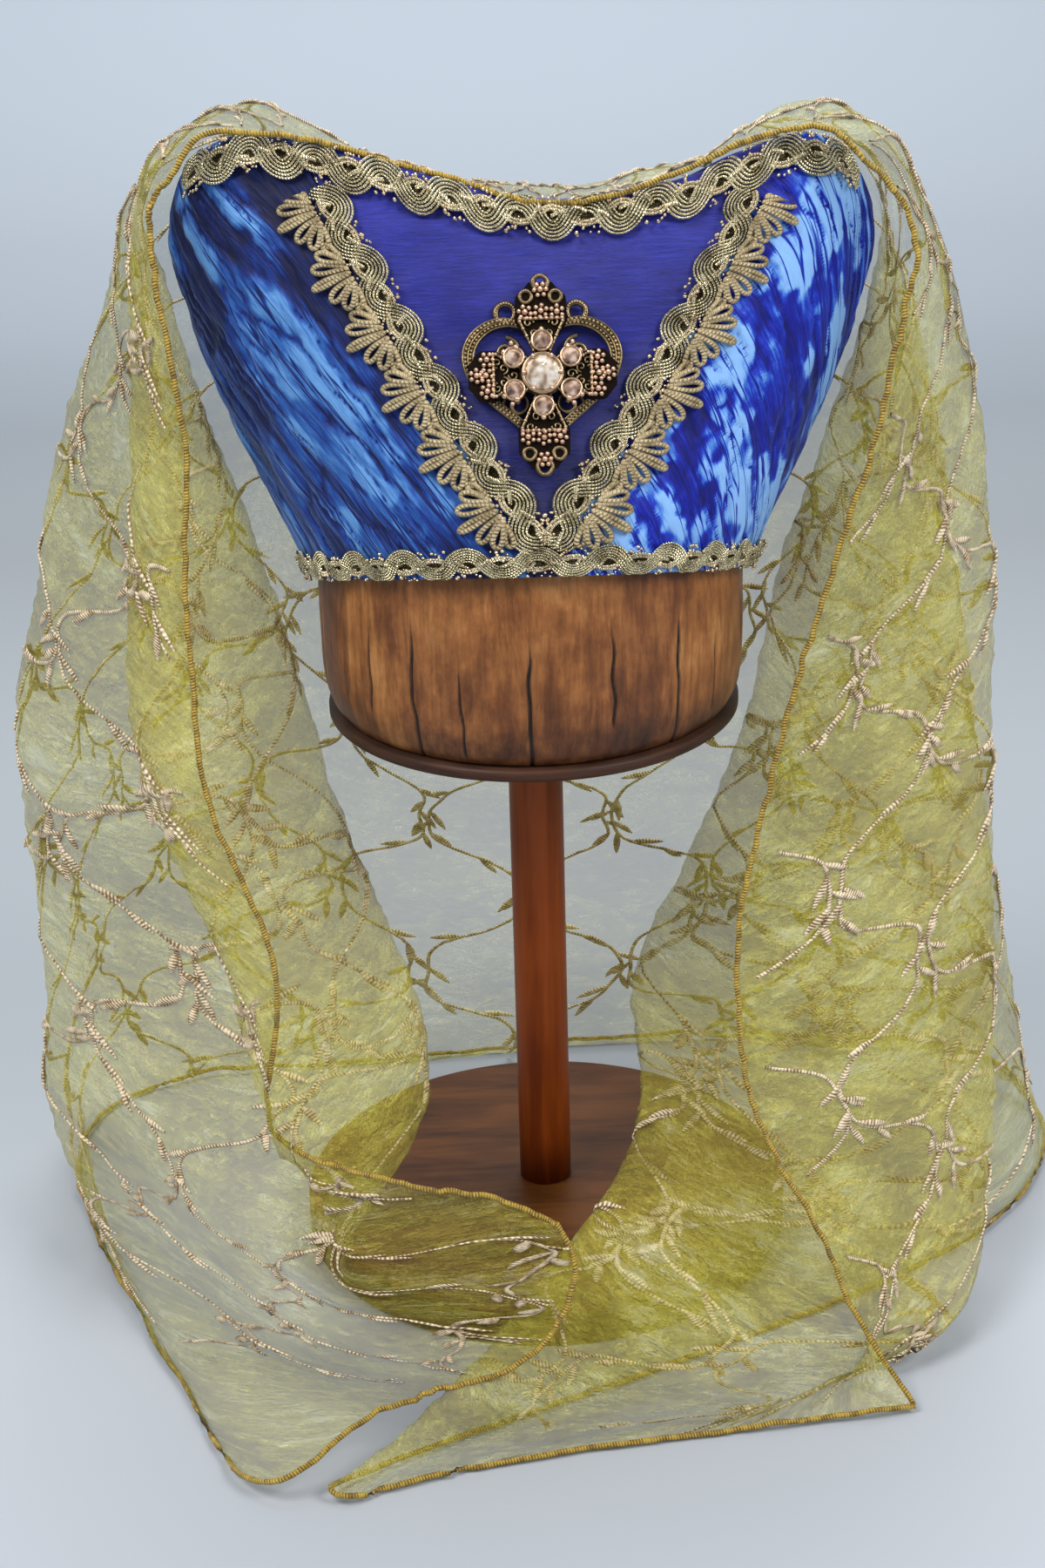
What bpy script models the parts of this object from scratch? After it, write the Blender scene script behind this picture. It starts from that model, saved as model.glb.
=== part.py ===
"""Horned headdress with a draped veil, worn by a hat block on a wooden stand.

Metres, +Z up. The origin is the centre of the base's underside, -Y is the front and +X is
the wearer's left side. The crown is a loft of oval sections between a tilted hem and a
saddle-shaped rim, and all its trims are strips of that same surface.
"""
import math

import bmesh
import bpy
from mathutils import Vector

# Stand
BASE_RADIUS = 0.105
BASE_THICKNESS = 0.018
BASE_ROUNDING = 0.003
POST_RADIUS = 0.0112
PLATE_BOTTOM = 0.240
PLATE_THICKNESS = 0.005
PLATE_HALF_WIDTH = 0.083
PLATE_HALF_DEPTH = 0.097
BLOCK_HALF_WIDTH = 0.0845
BLOCK_HALF_DEPTH = 0.0990
SEAT_GAP = 0.0003

# Crown
CLOTH = 0.0015
SEAM_GAP = 0.00025
HEM_HEIGHT = 0.294
HEM_TILT = 0.25
TOP_SLOPE = 0.12
V_MIDDLE = 0.0047
V_LEAST_HALF_WIDTH = 0.004
V_LOW_SHARE = 0.12
V_HIGH_SHARE = 0.95
V_LEFT_LOW_X = 0.0005
V_LEFT_HIGH_X = -0.0758
V_RIGHT_LOW_X = 0.0090
V_RIGHT_HIGH_X = 0.0863
RUCHE_DEPTH = 0.0011
RUCHE_COUNT = 11

# Trims
TRIM_GAP = 0.0005
BRAID_THICKNESS = 0.0022
BRAID_WIDTH = 0.017
HEM_BRAID_WIDTH = 0.0125
BRAID_PERIOD = 0.0245
SCALLOP = 0.0015
FRINGE_THICKNESS = 0.0014
FRINGE_LENGTH = 0.0135
FRINGE_PERIOD = 0.025

# Brooch
BROOCH_X = 0.0055
BROOCH_SHARE = 0.53
BROOCH_TILT = math.radians(65.5)
HEART_WIDTH = 0.0563
HEART_PLATE = 0.0014
HEART_HOLE = 0.76
HEART_BEAD = 0.0009
HEART_LIFT = 0.0018
CROSS_HEIGHT = 0.066
CROSS_WIDTH = 0.052
CROSS_PLATE = 0.0014
STONE_RADIUS = 0.0062
SMALL_STONE_RADIUS = 0.0031
STONE_CIRCLE = 0.0115

# Veil
VEIL_THICKNESS = 0.0012
VEIL_COLUMNS_PER_FOLD = 3
VEIL_ROWS_PER_LEVEL = 2

# The crown's horizontal sections, as shares of the height from hem to rim
CROWN_COLUMNS = ("share", "half_width", "front_y", "back_y", "squareness")
CROWN_SECTIONS = (
    (0.00, 0.0864, -0.1009, 0.1009, 2.00),
    (0.15, 0.0960, -0.0965, 0.1010, 2.05),
    (0.30, 0.1060, -0.0890, 0.0985, 2.10),
    (0.45, 0.1150, -0.0810, 0.0920, 2.20),
    (0.60, 0.1225, -0.0725, 0.0820, 2.30),
    (0.75, 0.1285, -0.0635, 0.0690, 2.40),
    (0.90, 0.1325, -0.0540, 0.0520, 2.45),
    (1.00, 0.1310, -0.0470, 0.0380, 2.50),
)

# Height of the front rim across the headdress
RIM_COLUMNS = ("x", "z")
RIM_LINE = (
    (-0.1310, 0.4400),
    (-0.1225, 0.4560),
    (-0.1090, 0.4655),
    (-0.0910, 0.4679),
    (-0.0606, 0.4611),
    (-0.0303, 0.4511),
    (0.0034, 0.4433),
    (0.0313, 0.4438),
    (0.0622, 0.4501),
    (0.0837, 0.4593),
    (0.1021, 0.4633),
    (0.1113, 0.4607),
    (0.1207, 0.4539),
    (0.1310, 0.4370),
)

# The hat block's side, as scale of its oval at each height
BLOCK_COLUMNS = ("z", "scale")
BLOCK_PROFILE = (
    (0.2453, 0.940),
    (0.2490, 0.968),
    (0.2560, 0.990),
    (0.2660, 1.000),
    (0.2950, 0.999),
    (0.3120, 0.985),
    (0.3280, 0.950),
    (0.3420, 0.890),
    (0.3550, 0.770),
    (0.3640, 0.580),
    (0.3690, 0.330),
)

# Each fold line of the veil from the front rim to the floor, in order from the hem on the
# left, round the back, to the hem on the right. A row per level: x, y, z.
VEIL_FOLDS = {
    "hem_left": (
        (-0.1240, -0.045, 0.4560), (-0.1305, -0.046, 0.446), (-0.1325, -0.047, 0.438),
        (-0.1298, -0.050, 0.416), (-0.1249, -0.060, 0.364), (-0.1270, -0.070, 0.302),
        (-0.1215, -0.083, 0.231), (-0.1010, -0.095, 0.170), (-0.1040, -0.107, 0.104),
        (-0.0600, -0.130, 0.094), (-0.0220, -0.137, 0.090), (0.0030, -0.142, 0.081),
    ),
    "strip_left": (
        (-0.1120, -0.042, 0.4700), (-0.1340, -0.030, 0.458), (-0.1412, -0.030, 0.438),
        (-0.1424, -0.040, 0.415), (-0.1455, -0.050, 0.363), (-0.1480, -0.060, 0.300),
        (-0.1435, -0.074, 0.231), (-0.1230, -0.086, 0.170), (-0.0960, -0.110, 0.096),
        (-0.0800, -0.124, 0.075), (-0.0300, -0.142, 0.070), (0.0090, -0.152, 0.063),
    ),
    "inner_left": (
        (-0.0920, -0.042, 0.4705), (-0.1200, -0.008, 0.469), (-0.1395, -0.012, 0.440),
        (-0.1350, -0.018, 0.415), (-0.1230, -0.020, 0.364), (-0.1010, -0.030, 0.302),
        (-0.0830, -0.035, 0.231), (-0.0620, -0.043, 0.170), (-0.0520, -0.066, 0.100),
        (-0.0900, -0.120, 0.050), (-0.0500, -0.150, 0.045), (-0.0110, -0.166, 0.038),
    ),
    "outer_left": (
        (-0.0700, -0.042, 0.4668), (-0.1000, 0.004, 0.4725), (-0.1450, 0.012, 0.445),
        (-0.1620, 0.020, 0.410), (-0.1780, 0.020, 0.360), (-0.1910, 0.012, 0.295),
        (-0.2014, 0.000, 0.228), (-0.2035, 0.000, 0.170), (-0.2003, -0.010, 0.113),
        (-0.1850, -0.035, 0.060), (-0.1200, -0.120, 0.020), (-0.0634, -0.170, 0.022),
    ),
    "tail_left": (
        (-0.0480, -0.042, 0.4600), (-0.0700, 0.010, 0.4640), (-0.1150, 0.042, 0.459),
        (-0.1500, 0.050, 0.405), (-0.1750, 0.055, 0.355), (-0.1900, 0.050, 0.290),
        (-0.2030, 0.045, 0.225), (-0.2070, 0.040, 0.165), (-0.2100, 0.030, 0.105),
        (-0.2120, 0.010, 0.055), (-0.1800, -0.060, 0.012), (-0.1190, -0.176, 0.002),
    ),
    "back_left": (
        (-0.0220, -0.042, 0.4525), (-0.0350, 0.012, 0.4535), (-0.0700, 0.050, 0.458),
        (-0.1000, 0.080, 0.405), (-0.1150, 0.108, 0.350), (-0.1300, 0.112, 0.285),
        (-0.1500, 0.114, 0.220), (-0.1650, 0.114, 0.160), (-0.1800, 0.114, 0.100),
        (-0.1950, 0.112, 0.050), (-0.2050, 0.105, 0.010), (-0.2140, 0.085, 0.002),
    ),
    "back_middle": (
        (0.0030, -0.046, 0.4450), (0.0030, 0.010, 0.4458), (0.0030, 0.050, 0.436),
        (0.0030, 0.085, 0.400), (0.0030, 0.114, 0.345), (0.0030, 0.119, 0.285),
        (0.0000, 0.122, 0.220), (0.0000, 0.126, 0.160), (0.0000, 0.130, 0.100),
        (0.0000, 0.133, 0.050), (0.0000, 0.138, 0.010), (-0.0050, 0.150, 0.002),
    ),
    "back_right": (
        (0.0300, -0.046, 0.4458), (0.0420, 0.012, 0.4485), (0.0750, 0.050, 0.453),
        (0.1030, 0.080, 0.403), (0.1180, 0.108, 0.350), (0.1330, 0.112, 0.285),
        (0.1500, 0.114, 0.220), (0.1650, 0.114, 0.160), (0.1800, 0.114, 0.100),
        (0.1950, 0.112, 0.050), (0.2070, 0.112, 0.010), (0.2180, 0.130, 0.002),
    ),
    "back_fold_right": (
        (0.0580, -0.042, 0.4540), (0.0780, 0.010, 0.4600), (0.1200, 0.042, 0.454),
        (0.1500, 0.050, 0.405), (0.1650, 0.050, 0.355), (0.1750, 0.045, 0.290),
        (0.1820, 0.040, 0.225), (0.1870, 0.035, 0.165), (0.1930, 0.025, 0.110),
        (0.1990, 0.005, 0.055), (0.2020, -0.012, 0.012), (0.1900, -0.030, 0.002),
    ),
    "inner_right": (
        (0.0820, -0.042, 0.4640), (0.1080, 0.000, 0.4700), (0.1400, 0.000, 0.442),
        (0.1340, -0.006, 0.410), (0.1180, -0.012, 0.360), (0.1010, -0.002, 0.300),
        (0.0880, 0.000, 0.235), (0.0640, 0.000, 0.170), (0.0400, 0.010, 0.110),
        (0.0350, -0.055, 0.068), (-0.0200, -0.150, 0.038), (-0.0750, -0.188, 0.003),
    ),
    "outer_right": (
        (0.1070, -0.042, 0.4670), (0.1340, -0.022, 0.4600), (0.1460, -0.018, 0.440),
        (0.1640, -0.010, 0.410), (0.1755, -0.010, 0.360), (0.1825, -0.012, 0.300),
        (0.1850, -0.020, 0.235), (0.1854, -0.030, 0.170), (0.1850, -0.038, 0.105),
        (0.1810, -0.050, 0.055), (0.1500, -0.120, 0.012), (0.0150, -0.172, 0.002),
    ),
    "hem_right": (
        (0.1207, -0.045, 0.4565), (0.1310, -0.046, 0.444), (0.1375, -0.046, 0.434),
        (0.1385, -0.050, 0.416), (0.1250, -0.058, 0.360), (0.1070, -0.069, 0.300),
        (0.0885, -0.084, 0.235), (0.0750, -0.099, 0.170), (0.0800, -0.110, 0.115),
        (0.1040, -0.116, 0.062), (0.1170, -0.123, 0.028), (0.1376, -0.152, 0.002),
    ),
}

MATERIALS = {
    "wood_block": ((0.24, 0.10, 0.035), 0.45, 0.0),
    "wood_stand": ((0.16, 0.045, 0.015), 0.40, 0.0),
    "wood_plate": ((0.06, 0.025, 0.015), 0.50, 0.0),
    "velvet": ((0.02, 0.08, 0.45), 0.55, 0.0),
    "silk": ((0.035, 0.025, 0.25), 0.40, 0.0),
    "braid_gold": ((0.42, 0.33, 0.18), 0.40, 0.8),
    "fringe_gold": ((0.50, 0.38, 0.20), 0.60, 0.3),
    "brass": ((0.26, 0.19, 0.11), 0.40, 1.0),
    "stone": ((0.85, 0.70, 0.50), 0.08, 0.0),
    "veil_organza": ((0.42, 0.40, 0.10), 0.50, 0.0),
}


def clear_scene():
    for obj in list(bpy.data.objects):
        bpy.data.objects.remove(obj, do_unlink=True)


def collection(name):
    made = bpy.data.collections.new(name)
    bpy.context.scene.collection.children.link(made)
    return made


def material(name):
    made = bpy.data.materials.get(name)
    if made is None:
        made = bpy.data.materials.new(name)
        made.use_nodes = True
        color, roughness, metallic = MATERIALS[name]
        shader = made.node_tree.nodes["Principled BSDF"]
        shader.inputs["Base Color"].default_value = (*color, 1.0)
        shader.inputs["Roughness"].default_value = roughness
        shader.inputs["Metallic"].default_value = metallic
    return made


def table_value(rows, columns, column, at):
    """The named column at a place along the first column, by a smooth curve through the rows."""
    index = columns.index(column)
    keys = [row[0] for row in rows]
    values = [row[index] for row in rows]
    at = min(max(at, keys[0]), keys[-1])
    span = max(i for i in range(len(keys) - 1) if keys[i] <= at)
    width = keys[span + 1] - keys[span]
    share = (at - keys[span]) / width

    def slope(i):
        low = max(i - 1, 0)
        high = min(i + 1, len(keys) - 1)
        return (values[high] - values[low]) / (keys[high] - keys[low])

    a, b = values[span], values[span + 1]
    ease = share * share * (3 - 2 * share)
    lift = share * (1 - share) ** 2 * width * slope(span)
    drop = share * share * (1 - share) * width * slope(span + 1)
    return a + (b - a) * ease + lift - drop


def mesh_object(name, bm, mat, home):
    bmesh.ops.recalc_face_normals(bm, faces=bm.faces)
    mesh = bpy.data.meshes.new(name)
    bm.to_mesh(mesh)
    bm.free()
    mesh.materials.append(material(mat))
    obj = bpy.data.objects.new(name, mesh)
    home.objects.link(obj)
    return obj


def shade(obj, degrees=35):
    obj.data.shade_smooth()
    obj.data.set_sharp_from_angle(angle=math.radians(degrees))


def loft_object(name, rows, mat, home, closed=False, cap=False, hoop=False):
    """A surface through rows of points.

    Closed joins each row's ends, cap fills the end rows, and hoop joins the last row to the
    first.
    """
    bm = bmesh.new()
    made = [[bm.verts.new(point) for point in row] for row in rows]
    count = len(made[0])
    last = count if closed else count - 1
    after = made[1:] + made[:1] if hoop else made[1:]
    for low, high in zip(made, after):
        for i in range(last):
            j = (i + 1) % count
            bm.faces.new((low[i], low[j], high[j], high[i]))
    if cap:
        bm.faces.new(list(reversed(made[0])))
        bm.faces.new(made[-1])
    bmesh.ops.remove_doubles(bm, verts=bm.verts, dist=0.00001)
    return mesh_object(name, bm, mat, home)


def thicken(obj, thickness, side):
    solid = obj.modifiers.new("wall", "SOLIDIFY")
    solid.thickness = thickness
    solid.offset = side
    solid.use_even_offset = False


def face_outward(obj, inside):
    """Turns an open surface's faces so that they look away from the point inside."""
    bm = bmesh.new()
    bm.from_mesh(obj.data)
    away = sum((f.calc_center_median() - inside).dot(f.normal) for f in bm.faces)
    if away < 0:
        bmesh.ops.reverse_faces(bm, faces=bm.faces)
    bm.to_mesh(obj.data)
    bm.free()


def turned(name, profile, steps, mat, home):
    """A solid of revolution from a profile of (radius, height), top to bottom."""
    bm = bmesh.new()
    points = [bm.verts.new((radius, 0, height)) for radius, height in profile]
    for a, b in zip(points, points[1:]):
        bm.edges.new((a, b))
    mesh = bpy.data.meshes.new(name)
    bm.to_mesh(mesh)
    bm.free()
    mesh.materials.append(material(mat))
    obj = bpy.data.objects.new(name, mesh)
    home.objects.link(obj)
    screw = obj.modifiers.new("turn", "SCREW")
    screw.steps = steps
    screw.render_steps = steps
    screw.use_merge_vertices = True
    screw.merge_threshold = 0.00005
    screw.use_smooth_shade = False
    return obj


def oval(half_width, half_depth, z, count):
    angles = [2 * math.pi * i / count for i in range(count)]
    return [(half_width * math.cos(a), half_depth * math.sin(a), z) for a in angles]


def build_stand(home):
    rounding = BASE_ROUNDING
    base_profile = [(0, BASE_THICKNESS), (BASE_RADIUS - rounding, BASE_THICKNESS)]
    base_profile += [(BASE_RADIUS, BASE_THICKNESS - rounding), (BASE_RADIUS, rounding / 2)]
    base_profile += [(BASE_RADIUS - rounding / 2, 0), (0, 0)]
    turned("base_disc", base_profile, 44, "wood_stand", home)
    post_low = BASE_THICKNESS + SEAT_GAP
    post_high = PLATE_BOTTOM - SEAT_GAP
    post_profile = [(0, post_high), (POST_RADIUS, post_high), (POST_RADIUS, post_low), (0, post_low)]
    turned("stand_post", post_profile, 24, "wood_stand", home)
    plate_rows = [
        oval(PLATE_HALF_WIDTH, PLATE_HALF_DEPTH, PLATE_BOTTOM, 48),
        oval(PLATE_HALF_WIDTH, PLATE_HALF_DEPTH, PLATE_BOTTOM + PLATE_THICKNESS, 48),
    ]
    loft_object("block_plate", plate_rows, "wood_plate", home, closed=True, cap=True)
    block_rows = [
        oval(BLOCK_HALF_WIDTH * scale, BLOCK_HALF_DEPTH * scale, z, 30)
        for z, scale in BLOCK_PROFILE
    ]
    block = loft_object("hat_block", block_rows, "wood_block", home, closed=True, cap=True)
    shade(block)


def section(share):
    return [table_value(CROWN_SECTIONS, CROWN_COLUMNS, name, share) for name in CROWN_COLUMNS[1:]]


def plan_point(angle, share):
    """A point of the section's oval in plan. Angle 0 is +X, and minus a quarter turn is the front."""
    half_width, front_y, back_y, squareness = section(share)
    cosine, sine = math.cos(angle), math.sin(angle)
    power = 2 / squareness
    x = half_width * math.copysign(abs(cosine) ** power, cosine)
    y = (front_y + back_y) / 2
    y += (back_y - front_y) / 2 * math.copysign(abs(sine) ** power, sine)
    return x, y


def rim_height(x, y):
    front_y = CROWN_SECTIONS[-1][2]
    return table_value(RIM_LINE, RIM_COLUMNS, "z", x) - TOP_SLOPE * (y - front_y)


def crown_base_point(angle, share):
    x, y = plan_point(angle, share)
    hem_y = plan_point(angle, 0.0)[1]
    rim_x, rim_y = plan_point(angle, 1.0)
    low = HEM_HEIGHT - HEM_TILT * hem_y
    high = rim_height(rim_x, rim_y)
    return Vector((x, y, low + (high - low) * share))


def crown_point(angle, share, offset=0.0):
    """A point of the crown's outer face, or one that lies an offset outside it."""
    point = crown_base_point(angle, share)
    if offset == 0.0:
        return point
    step = 0.01
    low, high = max(share - step, 0.0), min(share + step, 1.0)
    across = crown_base_point(angle + step, share) - crown_base_point(angle - step, share)
    upward = crown_base_point(angle, high) - crown_base_point(angle, low)
    return point + offset * across.cross(upward).normalized()


def front_angle(x, share):
    """The angle at which the front of a section reaches x."""
    half_width, _, _, squareness = section(share)
    ratio = max(-1.0, min(1.0, x / half_width))
    return -math.acos(math.copysign(abs(ratio) ** (squareness / 2), ratio))


def v_line(side, share):
    """The x of the V's centre line at a share of the height, side -1 left and 1 right."""
    low, high = (V_LEFT_LOW_X, V_LEFT_HIGH_X) if side < 0 else (V_RIGHT_LOW_X, V_RIGHT_HIGH_X)
    return low + (high - low) * (share - V_LOW_SHARE) / (V_HIGH_SHARE - V_LOW_SHARE)


def seam_x(side, share):
    x = v_line(side, share)
    limit = V_MIDDLE + side * V_LEAST_HALF_WIDTH
    return min(x, limit) if side < 0 else max(x, limit)


def shares(count):
    return [i / (count - 1) for i in range(count)]


def build_front_panel(home):
    rows = []
    for share in shares(10):
        left = front_angle(seam_x(-1, share) + SEAM_GAP, share)
        right = front_angle(seam_x(1, share) - SEAM_GAP, share)
        rows.append([crown_point(left + (right - left) * w, share) for w in shares(7)])
    panel = loft_object("front_panel", rows, "silk", home)
    face_outward(panel, Vector((0, 0, 0.36)))
    thicken(panel, CLOTH, -1)
    shade(panel)


def ruche(across, share):
    """Depth of the velvet's slanting ruches, none at the seams, the hem and the rim."""
    fade = min(1.0, 5 * across * (1 - across)) * min(1.0, 6 * share * (1 - share)) - 1e-9
    reach = max(0.0, across - 0.25) / 0.75
    return -RUCHE_DEPTH * fade * min(1.0, 3 * reach) * math.sin(
        2 * math.pi * (RUCHE_COUNT * across * 0.5 - 2.5 * share)
    ) ** 2


def build_velvet(name, side, home):
    rows = []
    back = math.pi / 2 - SEAM_GAP / CROWN_SECTIONS[0][3]
    for share in shares(10):
        start = front_angle(seam_x(side, share) + side * SEAM_GAP, share)
        end = back if side > 0 else -math.pi - back
        rows.append([
            crown_point(start + (end - start) * w, share, ruche(w, share)) for w in shares(18)
        ])
    velvet = loft_object(name, rows, "velvet", home)
    face_outward(velvet, Vector((0, 0, 0.36)))
    thicken(velvet, CLOTH, -1)
    shade(velvet)


def build_crown_top(home):
    """The saddle-shaped panel between the horns, ruled from the front rim to the back rim."""
    inset = -(CLOTH + 2 * SEAT_GAP)
    share = 0.985
    rows = []
    for i in range(21):
        angle = 0.12 + (math.pi - 0.24) * i / 20
        front = crown_point(-angle, share, inset)
        back = crown_point(angle, share, inset)
        rows.append([front.lerp(back, w) for w in shares(4)])
    top = loft_object("crown_top", rows, "velvet", home)
    face_outward(top, Vector((0, 0, 0.30)))
    thicken(top, CLOTH, -1)
    shade(top)


def scallop(distance, period):
    return abs(math.sin(math.pi * distance / period))


def build_hem_braid(home):
    count = 84
    rows = [[], []]
    length = 0.0
    last = None
    for i in range(count):
        angle = 2 * math.pi * i / count
        low = crown_point(angle, 0.0, TRIM_GAP)
        length += (low - last).length if last else 0.0
        last = low
        edge = SCALLOP * scallop(length, BRAID_PERIOD / 2)
        rise = crown_point(angle, 0.05) - crown_point(angle, 0.0)
        per_metre = 0.05 / rise.length
        low.z -= edge
        rows[0].append(low)
        top = (HEM_BRAID_WIDTH - SCALLOP + edge) * per_metre
        rows[1].append(crown_point(angle, top, TRIM_GAP))
    braid = loft_object("hem_braid", rows, "braid_gold", home, closed=True)
    face_outward(braid, Vector((0, 0, 0.30)))
    thicken(braid, BRAID_THICKNESS, 1)
    shade(braid)


def height_length(angle):
    return (crown_point(angle, 1.0) - crown_point(angle, 0.0)).length


def build_rim_braid(home):
    """The braid along the front rim from horn to horn."""
    count = 56
    start, end = -math.pi + 0.22, -0.22
    rows = []
    length = 0.0
    last = None
    for i in range(count):
        angle = start + (end - start) * i / (count - 1)
        top = crown_point(angle, 0.995, TRIM_GAP)
        length += (top - last).length if last else 0.0
        last = top
        edge = SCALLOP * scallop(length, BRAID_PERIOD / 2)
        low = 0.995 - (BRAID_WIDTH - SCALLOP + edge) / height_length(angle)
        rows.append([
            crown_point(angle, low, TRIM_GAP), crown_point(angle, (0.995 + low) / 2, TRIM_GAP), top
        ])
    braid = loft_object("rim_braid", rows, "braid_gold", home)
    face_outward(braid, Vector((0, 0, 0.30)))
    thicken(braid, BRAID_THICKNESS, 1)
    shade(braid)


def v_shares(side, count):
    """Heights along a V braid, from the hem braid's top edge to the rim braid's lower edge."""
    low_angle = front_angle(v_line(side, V_LOW_SHARE), V_LOW_SHARE)
    high_angle = front_angle(v_line(side, V_HIGH_SHARE), V_HIGH_SHARE)
    low = (HEM_BRAID_WIDTH + 0.0012) / height_length(low_angle)
    high = 0.995 - (BRAID_WIDTH + 0.0012) / height_length(high_angle)
    return [low + (high - low) * w for w in shares(count)]


def v_stretch(side):
    """How much wider than its braid a V strip is when it is measured level."""
    low = crown_point(front_angle(v_line(side, 0.2), 0.2), 0.2)
    high = crown_point(front_angle(v_line(side, 0.9), 0.9), 0.9)
    run = high - low
    return run.length / math.hypot(run.y, run.z)


def build_v_braid(name, side, home):
    half = BRAID_WIDTH / 2 * v_stretch(side)
    rows = []
    for share in v_shares(side, 30):
        centre = v_line(side, share)
        edge = SCALLOP * (1 - scallop(share * height_length(-1.2), BRAID_PERIOD / 2))
        inner = centre - side * (half - edge)
        limit = V_MIDDLE + side * SEAM_GAP
        inner = min(inner, limit) if side < 0 else max(inner, limit)
        outer = centre + side * (half - edge)
        row = [inner + (outer - inner) * w for w in shares(3)]
        rows.append([crown_point(front_angle(x, share), share, TRIM_GAP) for x in row])
    braid = loft_object(name, rows, "braid_gold", home)
    face_outward(braid, Vector((0, 0, 0.30)))
    thicken(braid, BRAID_THICKNESS, 1)
    shade(braid)


def build_loop_fringe(name, side, home):
    """The looped trim outside a V braid: a head and a scalloped outer form, in one."""
    stretch = v_stretch(side)
    half = BRAID_WIDTH / 2 * stretch
    rows = []
    for share in v_shares(side, 34):
        inner = v_line(side, share) + side * (half + 0.0004)
        fan = scallop(share * height_length(-1.2), FRINGE_PERIOD)
        reach = FRINGE_LENGTH * stretch * (0.55 + 0.45 * fan)
        row = [inner + side * reach * w for w in shares(3)]
        rows.append([crown_point(front_angle(x, share), share, TRIM_GAP) for x in row])
    fringe = loft_object(name, rows, "fringe_gold", home)
    face_outward(fringe, Vector((0, 0, 0.30)))
    thicken(fringe, FRINGE_THICKNESS, 1)
    shade(fringe)


def flat_outline(name, loops, thickness, mat, home):
    """A flat plate in the XY plane from closed loops, the first its outline, the rest holes."""
    curve = bpy.data.curves.new(name, "CURVE")
    curve.dimensions = "2D"
    curve.fill_mode = "BOTH"
    curve.extrude = thickness / 2
    for loop in loops:
        spline = curve.splines.new("POLY")
        spline.points.add(len(loop) - 1)
        for point, (x, y) in zip(spline.points, loop):
            point.co = (x, y, 0, 1)
        spline.use_cyclic_u = True
    curve.materials.append(material(mat))
    return as_mesh(bpy.data.objects.new(name, curve), home)


def tube(name, points, radius, mat, home, cyclic=False):
    """A round wire through the points, with eight sides and closed ends."""
    curve = bpy.data.curves.new(name, "CURVE")
    curve.dimensions = "3D"
    curve.bevel_depth = radius
    curve.bevel_resolution = 1
    curve.use_fill_caps = True
    spline = curve.splines.new("POLY")
    spline.points.add(len(points) - 1)
    for point, place in zip(spline.points, points):
        point.co = (*place, 1)
    spline.use_cyclic_u = cyclic
    curve.materials.append(material(mat))
    return as_mesh(bpy.data.objects.new(name, curve), home)


def as_mesh(curve_object, home):
    """The curve's evaluated mesh as an object of the same name, with its caps welded."""
    home.objects.link(curve_object)
    bpy.context.view_layer.update()
    evaluated = curve_object.evaluated_get(bpy.context.evaluated_depsgraph_get())
    mesh = bpy.data.meshes.new_from_object(evaluated)
    name = curve_object.name
    bpy.data.objects.remove(curve_object, do_unlink=True)
    bm = bmesh.new()
    bm.from_mesh(mesh)
    bmesh.ops.remove_doubles(bm, verts=bm.verts, dist=0.000001)
    bmesh.ops.recalc_face_normals(bm, faces=bm.faces)
    bm.to_mesh(mesh)
    bm.free()
    obj = bpy.data.objects.new(name, mesh)
    home.objects.link(obj)
    return obj


def bead(name, place, radius, mat, home):
    bm = bmesh.new()
    bmesh.ops.create_uvsphere(bm, u_segments=6, v_segments=3, radius=radius)
    bmesh.ops.translate(bm, verts=bm.verts, vec=place)
    return mesh_object(name, bm, mat, home)


def disc(name, place, radius, height, mat, home, segments=12):
    bm = bmesh.new()
    bmesh.ops.create_cone(
        bm, cap_ends=True, segments=segments, radius1=radius, radius2=radius * 0.9, depth=height
    )
    bmesh.ops.translate(bm, verts=bm.verts, vec=place)
    return mesh_object(name, bm, mat, home)


def unite(body, others, cutters):
    for other in others:
        for home in list(other.users_collection):
            home.objects.unlink(other)
        cutters.objects.link(other)
        other.hide_render = True
        other.display_type = "WIRE"
        other.parent = body
        joint = body.modifiers.new(other.name, "BOOLEAN")
        joint.operation = "UNION"
        joint.solver = "EXACT"
        joint.object = other


def heart_loop(width, count):
    """The classic heart curve scaled to a width, with its points evenly spread."""
    scale = width / 32
    least = width / count
    loop = []
    for i in range(4 * count):
        t = 2 * math.pi * i / (4 * count)
        x = 16 * math.sin(t) ** 3 * scale
        y = 13 * math.cos(t) - 5 * math.cos(2 * t) - 2 * math.cos(3 * t) - math.cos(4 * t)
        y *= scale
        ends = (loop[0], loop[-1]) if loop else ()
        if all(math.hypot(x - a, y - b) >= least * 2.4 for a, b in ends):
            loop.append((x, y))
    return loop


def spiral(centre, radius, turns, start, side, count=10):
    """A scroll that winds inward from its outer end."""
    points = []
    for i in range(count):
        w = i / (count - 1)
        angle = start + side * 2 * math.pi * turns * w
        reach = radius * (1 - 0.7 * w)
        points.append((centre[0] + reach * math.cos(angle), centre[1] + reach * math.sin(angle), 0))
    return points


def ring(name, centre, radius, wire, mat, home):
    count = 10
    angles = [2 * math.pi * i / count for i in range(count)]
    points = [
        (centre[0] + radius * math.cos(a), centre[1] + radius * math.sin(a), centre[2])
        for a in angles
    ]
    return tube(name, points, wire, mat, home, cyclic=True)


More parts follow.
